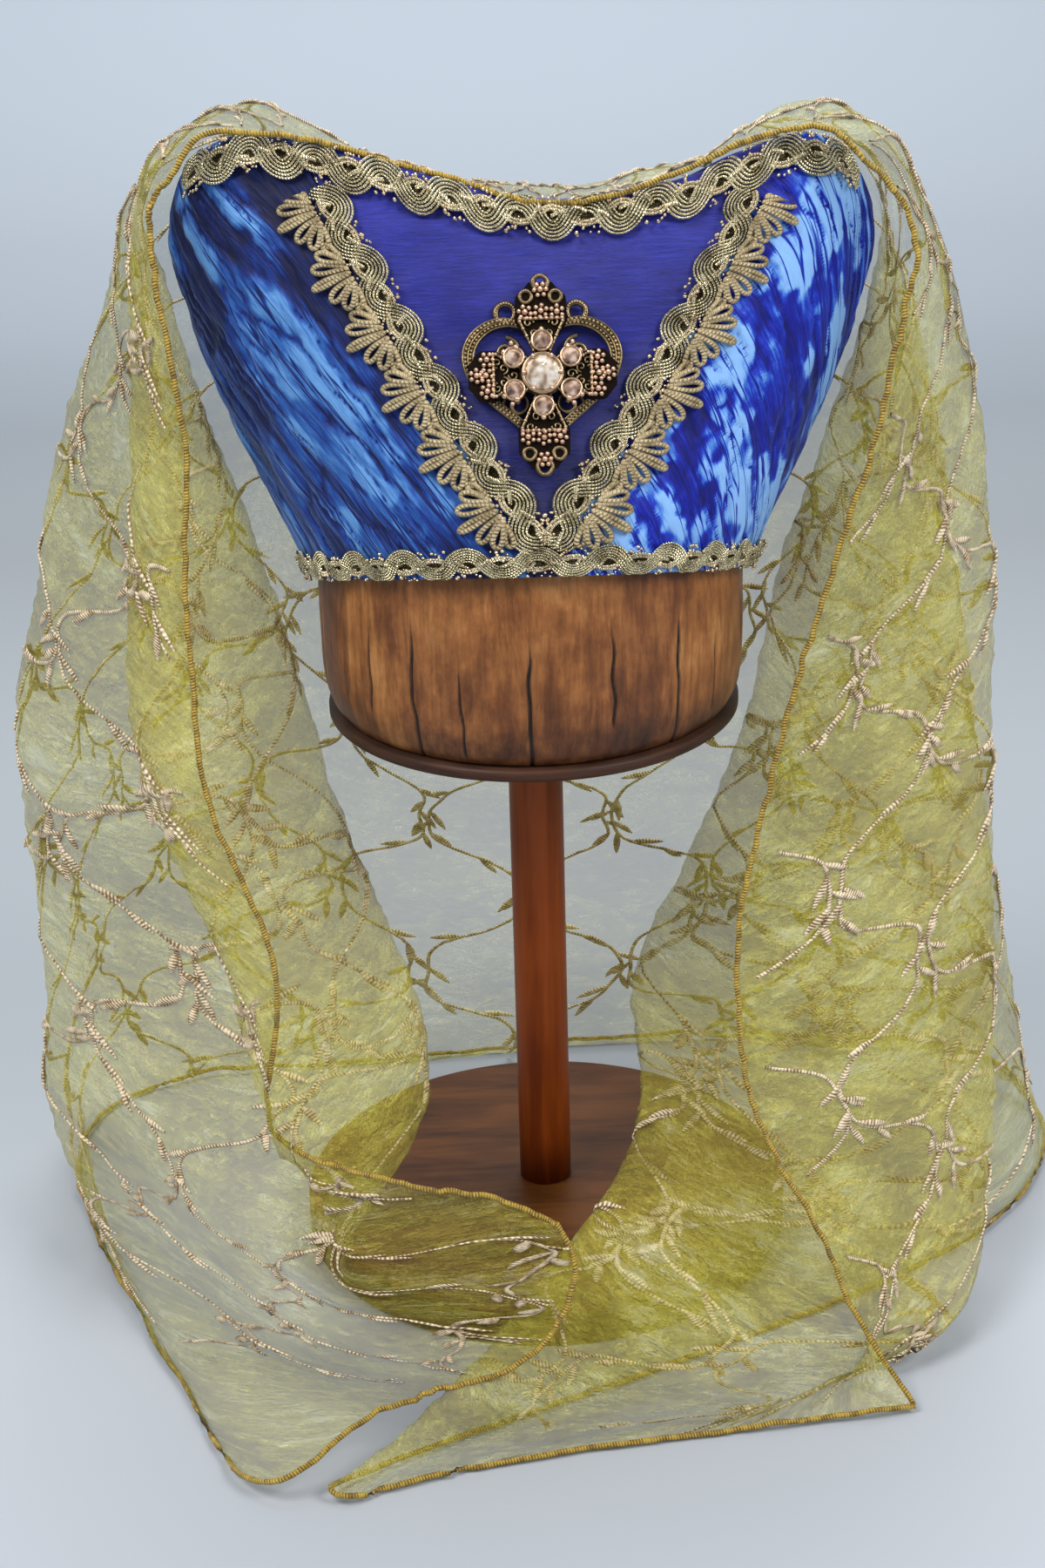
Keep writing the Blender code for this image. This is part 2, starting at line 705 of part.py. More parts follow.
def build_heart_plate(holder, home, cutters):
    outline = heart_loop(HEART_WIDTH, 32)
    half = HEART_PLATE / 2
    ridge = half + HEART_BEAD
    profile = (
        (1.0, -half), (1.0, half), (0.93, ridge), (0.84, ridge), (HEART_HOLE, half),
        (HEART_HOLE, -half),
    )
    rows = [[(x * scale, y * scale, z) for x, y in outline] for scale, z in profile]
    plate = loft_object("brooch_heart_plate", rows, "brass", home, closed=True, hoop=True)
    others = []
    for side in (-1, 1):
        label = "left" if side < 0 else "right"
        scroll = spiral((side * 0.0125, 0.0085), 0.0080, 1.1, math.pi / 2, side)
        others.append(tube("heart_scroll_" + label, scroll, 0.0009, "brass", home))
        bar = [(side * 0.0010, -0.004, 0), (side * 0.0215, 0.003, 0)]
        others.append(tube("heart_bar_" + label, bar, 0.0010, "brass", home))
        loop_at = (side * 0.0115, 0.0235, 0)
        others.append(ring("heart_loop_" + label, loop_at, 0.0030, 0.0009, "brass", home))
    stem = [(0.0001, -0.0225, 0), (0, 0.0075, 0)]
    others.append(tube("heart_stem", stem, 0.0016, "brass", home))
    unite(plate, others, cutters)
    plate.parent = holder
    plate.location = (0, 0, HEART_LIFT)


def cross_outline():
    """Four flared arms with three-lobed ends, as one closed loop."""
    loop = []
    for arm in range(4):
        turn = math.pi / 2 * arm
        reach = (CROSS_WIDTH if arm % 2 == 0 else CROSS_HEIGHT) / 2
        flare = 0.0072
        shape = (
            (0.0060, -0.0030), (reach * 0.72, -flare), (reach * 0.86, -flare * 0.8),
            (reach * 0.93, -flare * 0.35), (reach, 0.0), (reach * 0.93, flare * 0.35),
            (reach * 0.86, flare * 0.8), (reach * 0.72, flare), (0.0060, 0.0030),
        )
        for u, v in shape:
            x = u * math.cos(turn) - v * math.sin(turn)
            y = u * math.sin(turn) + v * math.cos(turn)
            loop.append((x, y))
    return loop


def arm_hole(turn, along, across, radius):
    x = along * math.cos(turn) - across * math.sin(turn)
    y = along * math.sin(turn) + across * math.cos(turn)
    angles = [2 * math.pi * i / 6 for i in range(6)]
    return [(x + radius * math.cos(a), y + radius * math.sin(a)) for a in angles]


def build_cross(holder, home, cutters):
    holes = []
    others = []
    face = CROSS_PLATE / 2
    for arm in range(4):
        turn = math.pi / 2 * arm
        reach = (CROSS_WIDTH if arm % 2 == 0 else CROSS_HEIGHT) / 2
        for across in (-0.0028, 0.0028):
            holes.append(arm_hole(turn, reach * 0.68, across, 0.0013))
        for index, (along, across) in enumerate(((0.90, 0.0), (0.80, -0.0036), (0.80, 0.0036))):
            u, v = reach * along, across
            place = (
                u * math.cos(turn) - v * math.sin(turn),
                u * math.sin(turn) + v * math.cos(turn),
                face + 0.0004,
            )
            others.append(bead(f"cross_bead_{arm}_{index}", place, 0.0014, "brass", home))
        post_turn = turn + math.pi / 4
        post_at = (0.0088 * math.cos(post_turn), 0.0088 * math.sin(post_turn), face + 0.0006)
        others.append(bead(f"cross_post_{arm}", post_at, 0.0017, "brass", home))
    cross = flat_outline("brooch_cross", [cross_outline()] + holes, CROSS_PLATE, "brass", home)
    others.append(disc("cross_boss", (0, 0, 0.0008), 0.0098, 0.0026, "brass", home, 16))
    others.append(ring("cross_setting", (0, 0, 0.0026), STONE_RADIUS + 0.0013, 0.0008, "brass", home))
    unite(cross, others, cutters)
    cross.parent = holder
    cross.location = (0, 0, HEART_LIFT + HEART_PLATE / 2 + HEART_BEAD + SEAT_GAP + CROSS_PLATE / 2)
    return cross


def cut_stone(name, radius, height, sides, home):
    """A stone with a flat table, a ring of crown facets, a girdle and a short pavilion."""
    profile = [
        (0, height), (radius * 0.58, height), (radius, height * 0.42),
        (radius, height * 0.30), (radius * 0.75, 0), (0, 0),
    ]
    return turned(name, profile, sides, "stone", home)


def build_brooch(home, cutters):
    holder = bpy.data.objects.new("brooch_holder", None)
    home.objects.link(holder)
    angle = front_angle(BROOCH_X, BROOCH_SHARE)
    holder.location = crown_point(angle, BROOCH_SHARE)
    holder.rotation_euler = (BROOCH_TILT, 0, 0)
    build_heart_plate(holder, home, cutters)
    cross = build_cross(holder, home, cutters)
    top = cross.location.z + 0.0021 + SEAT_GAP
    centre = cut_stone("brooch_centre_stone", STONE_RADIUS, 0.0042, 12, home)
    centre.parent = holder
    centre.location = (0, 0, top)
    for index in range(6):
        turn = math.pi / 3 * index + math.pi / 6
        stone = cut_stone(f"brooch_stone_{index + 1}", SMALL_STONE_RADIUS, 0.0024, 8, home)
        stone.parent = holder
        stone.location = (STONE_CIRCLE * math.cos(turn), STONE_CIRCLE * math.sin(turn), top)


def smooth_line(points, per_span):
    """A smooth curve through points, as a list with per_span steps between each two."""
    line = []
    last = len(points) - 1
    for i in range(last):
        before = points[max(i - 1, 0)]
        after = points[min(i + 2, last)]
        a, b = points[i], points[i + 1]
        for step in range(per_span):
            w = step / per_span
            rise = (b - before) * 0.5
            fall = (after - a) * 0.5
            line.append(
                a * (2 * w**3 - 3 * w**2 + 1) + rise * (w**3 - 2 * w**2 + w)
                + b * (3 * w**2 - 2 * w**3) + fall * (w**3 - w**2)
            )
    line.append(points[last])
    return line


def build_veil(home):
    """The sheet from the front rim over the top, round the sides and back, to the floor."""
    folds = [
        smooth_line([Vector(p) for p in fold], VEIL_ROWS_PER_LEVEL)
        for fold in VEIL_FOLDS.values()
    ]
    rows = [
        smooth_line([fold[level] for fold in folds], VEIL_COLUMNS_PER_FOLD)
        for level in range(len(folds[0]))
    ]
    lowest = VEIL_THICKNESS / 2 + 0.0008
    for row in rows:
        for point in row:
            point.z = max(point.z, lowest)
    veil = loft_object("veil", rows, "veil_organza", home)
    thicken(veil, VEIL_THICKNESS, 0)
    shade(veil, 60)


def main():
    clear_scene()
    home = collection("horned_headdress")
    cutters = collection("cutters")
    build_stand(home)
    build_front_panel(home)
    build_velvet("velvet_left", -1, home)
    build_velvet("velvet_right", 1, home)
    build_crown_top(home)
    build_hem_braid(home)
    build_rim_braid(home)
    build_v_braid("v_braid_left", -1, home)
    build_v_braid("v_braid_right", 1, home)
    build_loop_fringe("loop_fringe_left", -1, home)
    build_loop_fringe("loop_fringe_right", 1, home)
    build_brooch(home, cutters)
    build_veil(home)


main()
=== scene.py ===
"""Dresses the horned headdress: velvet, silk, metallic braid, brooch, sheer veil and wood.

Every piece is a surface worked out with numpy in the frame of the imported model: metres, +Z
up, the front towards -Y. The crown's trims are strips of the crown's own surface.
"""
import math

import bpy
import numpy as np
from mathutils import Matrix, Vector


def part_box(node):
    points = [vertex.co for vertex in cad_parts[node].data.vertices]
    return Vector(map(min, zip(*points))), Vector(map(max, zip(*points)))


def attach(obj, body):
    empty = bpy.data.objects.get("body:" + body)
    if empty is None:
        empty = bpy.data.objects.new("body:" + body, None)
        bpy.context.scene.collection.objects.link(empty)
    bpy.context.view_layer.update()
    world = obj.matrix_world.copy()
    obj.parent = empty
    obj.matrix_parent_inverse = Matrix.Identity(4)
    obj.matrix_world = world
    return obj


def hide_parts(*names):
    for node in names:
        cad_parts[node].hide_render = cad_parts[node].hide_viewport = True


bl_info = {
    "name": "Horned Headdress",
    "version": (1, 0, 0),
    "blender": (4, 5, 0),
    "location": "View3D > Sidebar > Headdress",
    "description": "Builds a horned headdress with a veil on its wooden stand",
    "category": "Object",
}

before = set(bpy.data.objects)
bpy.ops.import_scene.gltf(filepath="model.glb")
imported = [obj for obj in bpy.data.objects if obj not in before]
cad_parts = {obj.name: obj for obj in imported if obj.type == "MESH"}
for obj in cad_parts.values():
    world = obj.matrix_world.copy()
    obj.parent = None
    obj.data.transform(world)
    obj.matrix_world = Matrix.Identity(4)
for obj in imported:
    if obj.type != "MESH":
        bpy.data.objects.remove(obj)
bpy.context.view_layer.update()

# The crown, repeated from the part's source
HEM_HEIGHT = 0.294
HEM_TILT = 0.25
TOP_SLOPE = 0.12
SEAM_GAP = 0.00025
V_MIDDLE = 0.0047
V_LEAST_HALF_WIDTH = 0.004
V_LOW_SHARE = 0.12
V_HIGH_SHARE = 0.95
V_ENDS = {-1: (0.0005, -0.0758), 1: (0.0090, 0.0863)}
CROWN_COLUMNS = ("share", "half_width", "front_y", "back_y", "squareness")
CROWN_SECTIONS = (
    (0.00, 0.0864, -0.1009, 0.1009, 2.00),
    (0.15, 0.0960, -0.0965, 0.1010, 2.05),
    (0.30, 0.1060, -0.0890, 0.0985, 2.10),
    (0.45, 0.1150, -0.0810, 0.0920, 2.20),
    (0.60, 0.1225, -0.0725, 0.0820, 2.30),
    (0.75, 0.1285, -0.0635, 0.0690, 2.40),
    (0.90, 0.1325, -0.0540, 0.0520, 2.45),
    (1.00, 0.1310, -0.0470, 0.0380, 2.50),
)
RIM_COLUMNS = ("x", "z")
RIM_LINE = (
    (-0.1310, 0.4400), (-0.1225, 0.4560), (-0.1090, 0.4655), (-0.0910, 0.4679),
    (-0.0606, 0.4611), (-0.0303, 0.4511), (0.0034, 0.4433), (0.0313, 0.4438),
    (0.0622, 0.4501), (0.0837, 0.4593), (0.1021, 0.4633), (0.1113, 0.4607),
    (0.1207, 0.4539), (0.1310, 0.4370),
)

# The hat block's side, as scale of its oval at each height
BLOCK_COLUMNS = ("z", "scale")
BLOCK_PROFILE = (
    (0.2453, 0.940), (0.2490, 0.968), (0.2560, 0.990), (0.2660, 1.000), (0.2950, 0.999),
    (0.3120, 0.985), (0.3280, 0.950), (0.3420, 0.890), (0.3550, 0.770), (0.3640, 0.580),
    (0.3690, 0.330),
)
BLOCK_FOOT, BLOCK_TOP = 0.2453, 0.369
BLOCK_HALF_WIDTH = 0.0845
BLOCK_HALF_DEPTH = 0.0990
BLOCK_MEAN_RADIUS = 0.09
BLOCK_COUNT = 1000

# Cracks in the block's side: degrees round from +X, width in metres, top and foot as heights
BLOCK_CRACKS = (
    (-132.0, 0.0007, 0.300, 0.262), (-118.0, 0.0008, 0.305, 0.246),
    (-106.0, 0.0006, 0.290, 0.250), (-91.0, 0.0009, 0.300, 0.244),
    (-73.0, 0.0007, 0.305, 0.262), (-55.0, 0.0009, 0.305, 0.244),
    (-40.0, 0.0007, 0.290, 0.256), (-18.0, 0.0008, 0.300, 0.250),
    (35.0, 0.0008, 0.296, 0.246), (80.0, 0.0007, 0.285, 0.248),
    (128.0, 0.0009, 0.290, 0.246), (196.0, 0.0007, 0.300, 0.252),
)

# Cloth and trims
WALL = 0.0013
TOP_SHARE, TOP_LIFT, TOP_SAG = 0.985, -0.0021, 0.0105
HEM_BRAID_WIDTH, HEM_BRAID_RISE = 0.0125, 0.0054
RIM_BRAID_DROP, RIM_BRAID_END = 0.0070, 0.46
V_TRIM_LOW, V_TRIM_HIGH = 0.085, 0.90
UP = np.array([0.0, 0.0, 1.0])

# A braid's parts, as they are at the design width
BRAID_DESIGN_WIDTH = 0.017
BUNDLE_REACH, BUNDLE_CORDS, BUNDLE_RADIUS = 0.0032, 6, 0.00055
GIMP_OFFSETS, GIMP_RADIUS = (-0.0010, 0.0006), 0.00072
BEND_GRAINS, BEND_AWAY = 13, 0.0042
GRAIN_SPREAD = (0.0052, 0.0030, 0.0007)
GRAIN_LEAST, GRAIN_MOST = 0.00045, 0.00095
TWIST_REACH, TWIST_RADIUS = 0.0026, 0.0008

# A fan of the fringe: each loop's slant in degrees, share of the longest, and half width
FRINGE_FAN = (
    (-66, 0.50, 0.0012), (-42, 0.68, 0.0014), (-21, 0.80, 0.0014), (0, 1.0, 0.0008),
    (20, 0.84, 0.0014), (40, 0.66, 0.0014), (62, 0.50, 0.0012),
)
FRINGE_FOOT, FRINGE_STEP, FRINGE_RADIUS = 0.008, 0.0021, 0.0010

# The brooch: its middle on the crown, its lean in degrees and its parts' lifts
BROOCH_X, BROOCH_SHARE, BROOCH_LEAN = 0.0055, 0.53, 65.5
HEART_LIFT, CROSS_LIFT, STONE_LIFT = 0.0018, 0.0044, 0.0068
HEART_WIDTH = 0.0563
STONE_CIRCLE = 0.0115

# The veil's fold lines from the front rim to the floor, in order from the hem on the left,
# round the back, to the hem on the right. A place per level: x, y, z in millimetres.
VEIL_FOLDS = {
    "hem_left": (
        (-124, -45, 456), (-130.5, -46, 446), (-132.5, -47, 438), (-129.8, -50, 416),
        (-124.9, -60, 364), (-127, -70, 302), (-121.5, -83, 231), (-101, -95, 170),
        (-104, -107, 104), (-60, -130, 94), (-22, -137, 90), (3, -142, 81),
    ),
    "strip_left": (
        (-112, -42, 470), (-134, -30, 458), (-141.2, -30, 438), (-142.4, -40, 415),
        (-145.5, -50, 363), (-148, -60, 300), (-143.5, -74, 231), (-123, -86, 170),
        (-96, -110, 96), (-80, -124, 75), (-30, -142, 70), (9, -152, 63),
    ),
    "inner_left": (
        (-92, -42, 470.5), (-120, -8, 469), (-139.5, -12, 440), (-135, -18, 415), (-123, -20, 364),
        (-101, -30, 302), (-83, -35, 231), (-62, -43, 170), (-52, -66, 100), (-90, -120, 50),
        (-50, -150, 45), (-11, -166, 38),
    ),
    "outer_left": (
        (-70, -42, 466.8), (-100, 4, 473.5), (-145, 12, 445), (-162, 20, 410), (-178, 20, 360),
        (-191, 12, 295), (-201.4, 0, 228), (-203.5, 0, 170), (-200.3, -10, 113), (-185, -35, 60),
        (-120, -120, 20), (-63.4, -170, 22),
    ),
    "tail_left": (
        (-48, -42, 460), (-70, 10, 458), (-115, 42, 457), (-150, 50, 405), (-175, 55, 355),
        (-190, 50, 290), (-203, 45, 225), (-207, 40, 165), (-210, 30, 105), (-212, 10, 55),
        (-180, -60, 12), (-119, -176, 2),
    ),
    "back_left": (
        (-22, -42, 452.5), (-35, 12, 446), (-70, 50, 450), (-100, 80, 405), (-115, 108, 350),
        (-130, 112, 285), (-150, 114, 220), (-165, 114, 160), (-180, 114, 100), (-195, 112, 50),
        (-205, 105, 10), (-214, 85, 2),
    ),
    "back_middle": (
        (3, -46, 445), (3, 10, 441.5), (3, 50, 432), (3, 85, 400), (3, 114, 345), (3, 119, 285),
        (0, 122, 220), (0, 126, 160), (0, 130, 100), (0, 133, 50), (0, 138, 10), (-5, 150, 2),
    ),
    "back_right": (
        (30, -46, 445.8), (42, 12, 440), (75, 50, 445), (103, 80, 403), (118, 108, 350),
        (133, 112, 285), (150, 114, 220), (165, 114, 160), (180, 114, 100), (195, 112, 50),
        (207, 112, 10), (218, 130, 2),
    ),
    "back_fold_right": (
        (58, -42, 454), (78, 10, 453), (120, 42, 451), (150, 50, 405), (165, 50, 355),
        (175, 45, 290), (182, 40, 225), (187, 35, 165), (193, 25, 110), (199, 5, 55),
        (202, -12, 12), (190, -30, 2),
    ),
    "inner_right": (
        (82, -42, 464), (108, 0, 470), (140, 0, 442), (134, -6, 410), (118, -12, 360),
        (101, -2, 300), (88, 0, 235), (64, 0, 170), (40, 10, 110), (35, -55, 68), (-20, -150, 38),
        (-75, -188, 3),
    ),
    "outer_right": (
        (107, -42, 467), (134, -22, 460), (146, -18, 440), (164, -10, 410), (175.5, -10, 360),
        (182.5, -12, 300), (185, -20, 235), (185.4, -30, 170), (185, -38, 105), (181, -50, 55),
        (150, -120, 12), (15, -172, 2),
    ),
    "hem_right": (
        (120.7, -45, 456.5), (131, -46, 444), (137.5, -46, 434), (138.5, -50, 416),
        (125, -58, 360), (107, -69, 300), (88.5, -84, 235), (75, -99, 170), (80, -110, 115),
        (104, -116, 62), (117, -123, 28), (137.6, -152, 2),
    ),
}
VEIL_MIDDLE_LEVEL = 5.0
VEIL_ROWS, VEIL_COUNT = 300, 330
FLOOR_ROOM = 0.0014
SEWN_ROOM = 0.006


def table_curve(rows, columns, column, at):
    """The named column read smoothly along the first: cubic pieces with averaged slopes."""
    table = np.array(rows)
    keys, values = table[:, 0], table[:, columns.index(column)]
    slopes = np.empty_like(values)
    slopes[1:-1] = (values[2:] - values[:-2]) / (keys[2:] - keys[:-2])
    slopes[0] = (values[1] - values[0]) / (keys[1] - keys[0])
    slopes[-1] = (values[-1] - values[-2]) / (keys[-1] - keys[-2])
    at = np.clip(at, keys[0], keys[-1])
    span = np.clip(np.searchsorted(keys, at, side="right") - 1, 0, len(keys) - 2)
    width = keys[span + 1] - keys[span]
    w = (at - keys[span]) / width
    low, high = values[span], values[span + 1]
    return (
        low + (high - low) * w * w * (3 - 2 * w)
        + w * (1 - w) ** 2 * width * slopes[span]
        - w * w * (1 - w) * width * slopes[span + 1]
    )


def spline(points, at):
    """The smooth curve through points along the first axis, read at fractional places."""
    last = len(points) - 1
    i = np.clip(np.floor(at).astype(int), 0, last - 1)
    w = (at - i).reshape((-1,) + (1,) * (points.ndim - 1))
    before, after = points[np.maximum(i - 1, 0)], points[np.minimum(i + 2, last)]
    a, b = points[i], points[i + 1]
    return (
        a * (2 * w**3 - 3 * w**2 + 1) + (b - before) / 2 * (w**3 - 2 * w**2 + w)
        + b * (3 * w**2 - 2 * w**3) + (after - a) / 2 * (w**3 - w**2)
    )


def cloud(x, y, size, seed):
    """Smooth noise from -1 to 1: random values on a lattice of one size, eased between."""
    cells = 128
    lattice = np.random.default_rng(seed).uniform(-1, 1, (cells, cells))
    u, v = x / size, y / size
    i, j = np.floor(u).astype(int), np.floor(v).astype(int)
    s, t = ease(u - i, 0, 1), ease(v - j, 0, 1)
    i, j, right, above = i % cells, j % cells, (i + 1) % cells, (j + 1) % cells
    near = lattice[i, j] * (1 - s) + lattice[right, j] * s
    far = lattice[i, above] * (1 - s) + lattice[right, above] * s
    return near * (1 - t) + far * t


def ease(value, low, high):
    """0 below low, 1 above high and a smooth step between."""
    w = np.clip((value - low) / (high - low), 0, 1)
    return w * w * (3 - 2 * w)


def unit(vectors):
    return vectors / np.maximum(np.linalg.norm(vectors, axis=-1, keepdims=True), 1e-12)


def xyz(x, y, z=0.0):
    """Points from three coordinates, each a number or a grid."""
    return np.stack(np.broadcast_arrays(x, y, z), -1)


def circle(radius, count, z=0.0, start=0.0):
    """Points spread evenly round the upright axis, from the start angle on."""
    turn = start + 2 * np.pi * np.arange(count) / count
    return xyz(radius * np.cos(turn), radius * np.sin(turn), z)


def running_length(points):
    """The length along a line of points, up to each of them."""
    return np.concatenate([[0], np.cumsum(np.linalg.norm(np.diff(points, axis=0), axis=1))])


def read_line(points, keys, places):
    """Points on a line of straight runs, read at places between its keys."""
    return np.stack([np.interp(places, keys, points[:, k]) for k in range(3)], -1)


def grid_normals(points):
    """Unit normals of a grid of points: across its rows crossed with down its columns."""
    return unit(np.cross(np.gradient(points, axis=1), np.gradient(points, axis=0)))


def cell_corners(grid):
    """The values of a grid at the four corners of each cell, in turn round the cell."""
    return [grid[:-1, :-1], grid[:-1, 1:], grid[1:, 1:], grid[1:, :-1]]


def grid_faces(rows, columns, wrap=False, flip=False):
    """Four corners for each cell of a grid. Wrap joins the last column to the first."""
    index = np.arange(rows * columns).reshape(rows, columns)
    if wrap:
        index = np.hstack([index, index[:, :1]])
    corners = cell_corners(index)
    return np.stack(corners[::-1] if flip else corners, -1).reshape(-1, 4)


def grid_uv(u, v):
    """Each cell's four corners on the cloth, from the grids of both coordinates."""
    return np.stack(cell_corners(np.stack([u, v], -1)), -2).reshape(-1, 4, 2)


def oval_grid(scales, heights, half_width, half_depth, count):
    """Ovals stacked at heights, each the oval's half sizes times its scale."""
    x, y, _ = circle(1.0, count).T
    scales, heights = np.asarray(scales)[:, None], np.asarray(heights)[:, None]
    return xyz(half_width * scales * x, half_depth * scales * y, heights)


def turned_grid(profile, count):
    """A profile of (radius, height) carried round the upright axis."""
    profile = np.array(profile)
    return oval_grid(profile[:, 0], profile[:, 1], 1.0, 1.0, count)


def add_mesh(name, points, faces, material):
    mesh = bpy.data.meshes.new(name)
    mesh.from_pydata(points.reshape(-1, 3).tolist(), [], faces.tolist())
    mesh.shade_smooth()
    mesh.materials.append(material)
    piece = bpy.data.objects.new(name, mesh)
    bpy.context.scene.collection.objects.link(piece)
    return piece


def make_piece(name, made, material, slot, *nodes):
    """A piece at the origin that rides on the stand in place of the named solids.

    Made holds its points, its faces' corners, their UVs or None, and values by label.
    """
    points, faces, uv, values = made
    piece = add_mesh(name, points, faces, material)
    if uv is not None:
        layer = piece.data.uv_layers.new(name="cloth")
        layer.data.foreach_set("uv", uv.astype(np.float32).ravel())
    for label, numbers in values.items():
        attribute = piece.data.attributes.new(label, "FLOAT", "POINT")
        attribute.data.foreach_set("value", numbers.astype(np.float32).ravel())
    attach(piece, "root")
    if nodes:
        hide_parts(*nodes)
    return piece


def cord_mesh(paths, radius, ups=UP, sides=6, flat=1.0, closed=False):
    """Round cords along many paths of equal length.

    Each ring is the path's point plus radius times (cosine of its side direction plus sine
    of its up direction times flat). Returns points, faces and face corners in (length,
    turn).
    """
    count, steps = paths.shape[:2]
    if closed:
        ahead = np.roll(paths, -1, axis=1) - np.roll(paths, 1, axis=1)
    else:
        ahead = np.gradient(paths, axis=1)
    ahead = unit(ahead)
    side = unit(np.cross(ahead, ups))
    up = np.cross(side, ahead)
    turn = 2 * np.pi * np.arange(sides) / sides
    radius = np.broadcast_to(radius, (count, steps))[:, :, None, None]
    ring = np.cos(turn)[:, None] * side[:, :, None] + flat * np.sin(turn)[:, None] * up[:, :, None]
    points = (paths[:, :, None] + radius * ring).reshape(-1, 3)
    last = steps if closed else steps - 1
    k, i, j = np.meshgrid(np.arange(count), np.arange(last), np.arange(sides), indexing="ij")

    def index(step, side_number):
        return (k * steps + step % steps) * sides + side_number % sides

    faces = np.stack([index(i, j), index(i, j + 1), index(i + 1, j + 1), index(i + 1, j)], -1)
    length = np.cumsum(np.linalg.norm(np.diff(paths, axis=1), axis=-1), axis=1)
    length = np.hstack([np.zeros((count, 1)), length, length[:, -1:]])
    near, far = length[k, i], length[k, i + 1]
    corners = [(near, j), (near, j + 1), (far, j + 1), (far, j)]
    uv = np.stack([np.stack([a, b / sides], -1) for a, b in corners], -2)
    return points, faces.reshape(-1, 4), uv.reshape(-1, 4, 2)


def bead_mesh(centres, radii, rings=5, sides=8):
    """Round beads at many centres, each a latitude and longitude grid without UVs."""
    rise = (np.pi * np.arange(rings + 1) / rings)[:, None]
    x, y, _ = circle(1.0, sides).T
    ball = xyz(np.sin(rise) * x, np.sin(rise) * y, np.cos(rise))
    radii = np.broadcast_to(radii, len(centres))
    points = centres[:, None, None] + radii[:, None, None, None] * ball
    one = grid_faces(rings + 1, sides, wrap=True, flip=True)
    faces = (np.arange(len(centres)) * (rings + 1) * sides)[:, None, None] + one
    return points.reshape(-1, 3), faces.reshape(-1, 4), None


def placed(surface, made, tone=0.0):
    """A mesh in the coordinates of a strip or the veil, moved onto it."""
    return surface.place(made[0]), *made[1:], tone


def joined(parts):
    """Several (points, faces, UVs or None, tone) as one mesh."""
    points, faces, uvs, tones, start = [], [], [], [], 0
    for some, corners, uv, tone in parts:
        points.append(some.reshape(-1, 3))
        faces.append(corners + start)
        uvs.append(np.zeros((len(corners), 4, 2)) if uv is None else uv)
        tones.append(np.full(len(points[-1]), float(tone)))
        start += len(points[-1])
    return np.vstack(points), np.vstack(faces), np.vstack(uvs), {"tone": np.concatenate(tones)}


# The crown's surface

def section(share):
    return [table_curve(CROWN_SECTIONS, CROWN_COLUMNS, name, share) for name in CROWN_COLUMNS[1:]]


def plan(angle, share):
    """The section's oval in plan: a squared ellipse between its front and back."""
    half_width, front_y, back_y, squareness = section(share)
    cosine, sine = np.cos(angle), np.sin(angle)
    x = half_width * np.sign(cosine) * np.abs(cosine) ** (2 / squareness)
    y = (back_y - front_y) / 2 * np.sign(sine) * np.abs(sine) ** (2 / squareness)
    return x, y + (front_y + back_y) / 2


def crown_base(angle, share):
    x, y = plan(angle, share)
    hem_y = plan(angle, np.zeros_like(share))[1]
    rim_x, rim_y = plan(angle, np.ones_like(share))
    low = HEM_HEIGHT - HEM_TILT * hem_y
    high = table_curve(RIM_LINE, RIM_COLUMNS, "z", rim_x)
    high = high - TOP_SLOPE * (rim_y - CROWN_SECTIONS[-1][2])
    return xyz(x, y, low + (high - low) * share)


def crown(angle, share, lift=0.0):
    """Points of the crown's outer face, lifted along its normal."""
    angle, share = np.broadcast_arrays(np.asarray(angle, float), np.asarray(share, float))
    share = np.clip(share, 0, 1)
    step = 0.01
    across = crown_base(angle + step, share) - crown_base(angle - step, share)
    high, low = np.minimum(share + step, 1), np.maximum(share - step, 0)
    upward = crown_base(angle, high) - crown_base(angle, low)
    normal = unit(np.cross(across, upward))
    return crown_base(angle, share) + np.asarray(lift)[..., None] * normal


def height_length(angle):
    """The crown's slope length from hem to rim at an angle."""
    ends = crown(angle, np.ones_like(angle)) - crown(angle, np.zeros_like(angle))
    return np.linalg.norm(ends, axis=-1)


def front_angle(x, share):
    """The angle at which the front of a section reaches x."""
    half_width, _, _, squareness = section(share)
    ratio = np.clip(x / half_width, -1, 1)
    return -np.arccos(np.sign(ratio) * np.abs(ratio) ** (squareness / 2))


def v_line(side, share):
    low, high = V_ENDS[side]
    return low + (high - low) * (share - V_LOW_SHARE) / (V_HIGH_SHARE - V_LOW_SHARE)


def seam_x(side, share):
    limit = V_MIDDLE + side * V_LEAST_HALF_WIDTH
    line = v_line(side, share)
    return np.minimum(line, limit) if side < 0 else np.maximum(line, limit)


class Strip:
    """A trim's own coordinates on the crown: along it, across it and up from it, in metres."""

    def __init__(self, angles, shares):
        self.angles = angles
        self.shares = shares
        self.lengths = running_length(crown(angles, shares))
        self.length = self.lengths[-1]
        self.reach = height_length(angles)

    def at(self, points, *lines):
        """The strip's own values where the points lie along it."""
        along = np.clip(points[..., 0], 0, self.length)
        return [np.interp(along, self.lengths, line) for line in lines]

    def place(self, points):
        angle, share, reach = self.at(points, self.angles, self.shares, self.reach)
        return crown(angle, share + points[..., 1] / reach, points[..., 2])


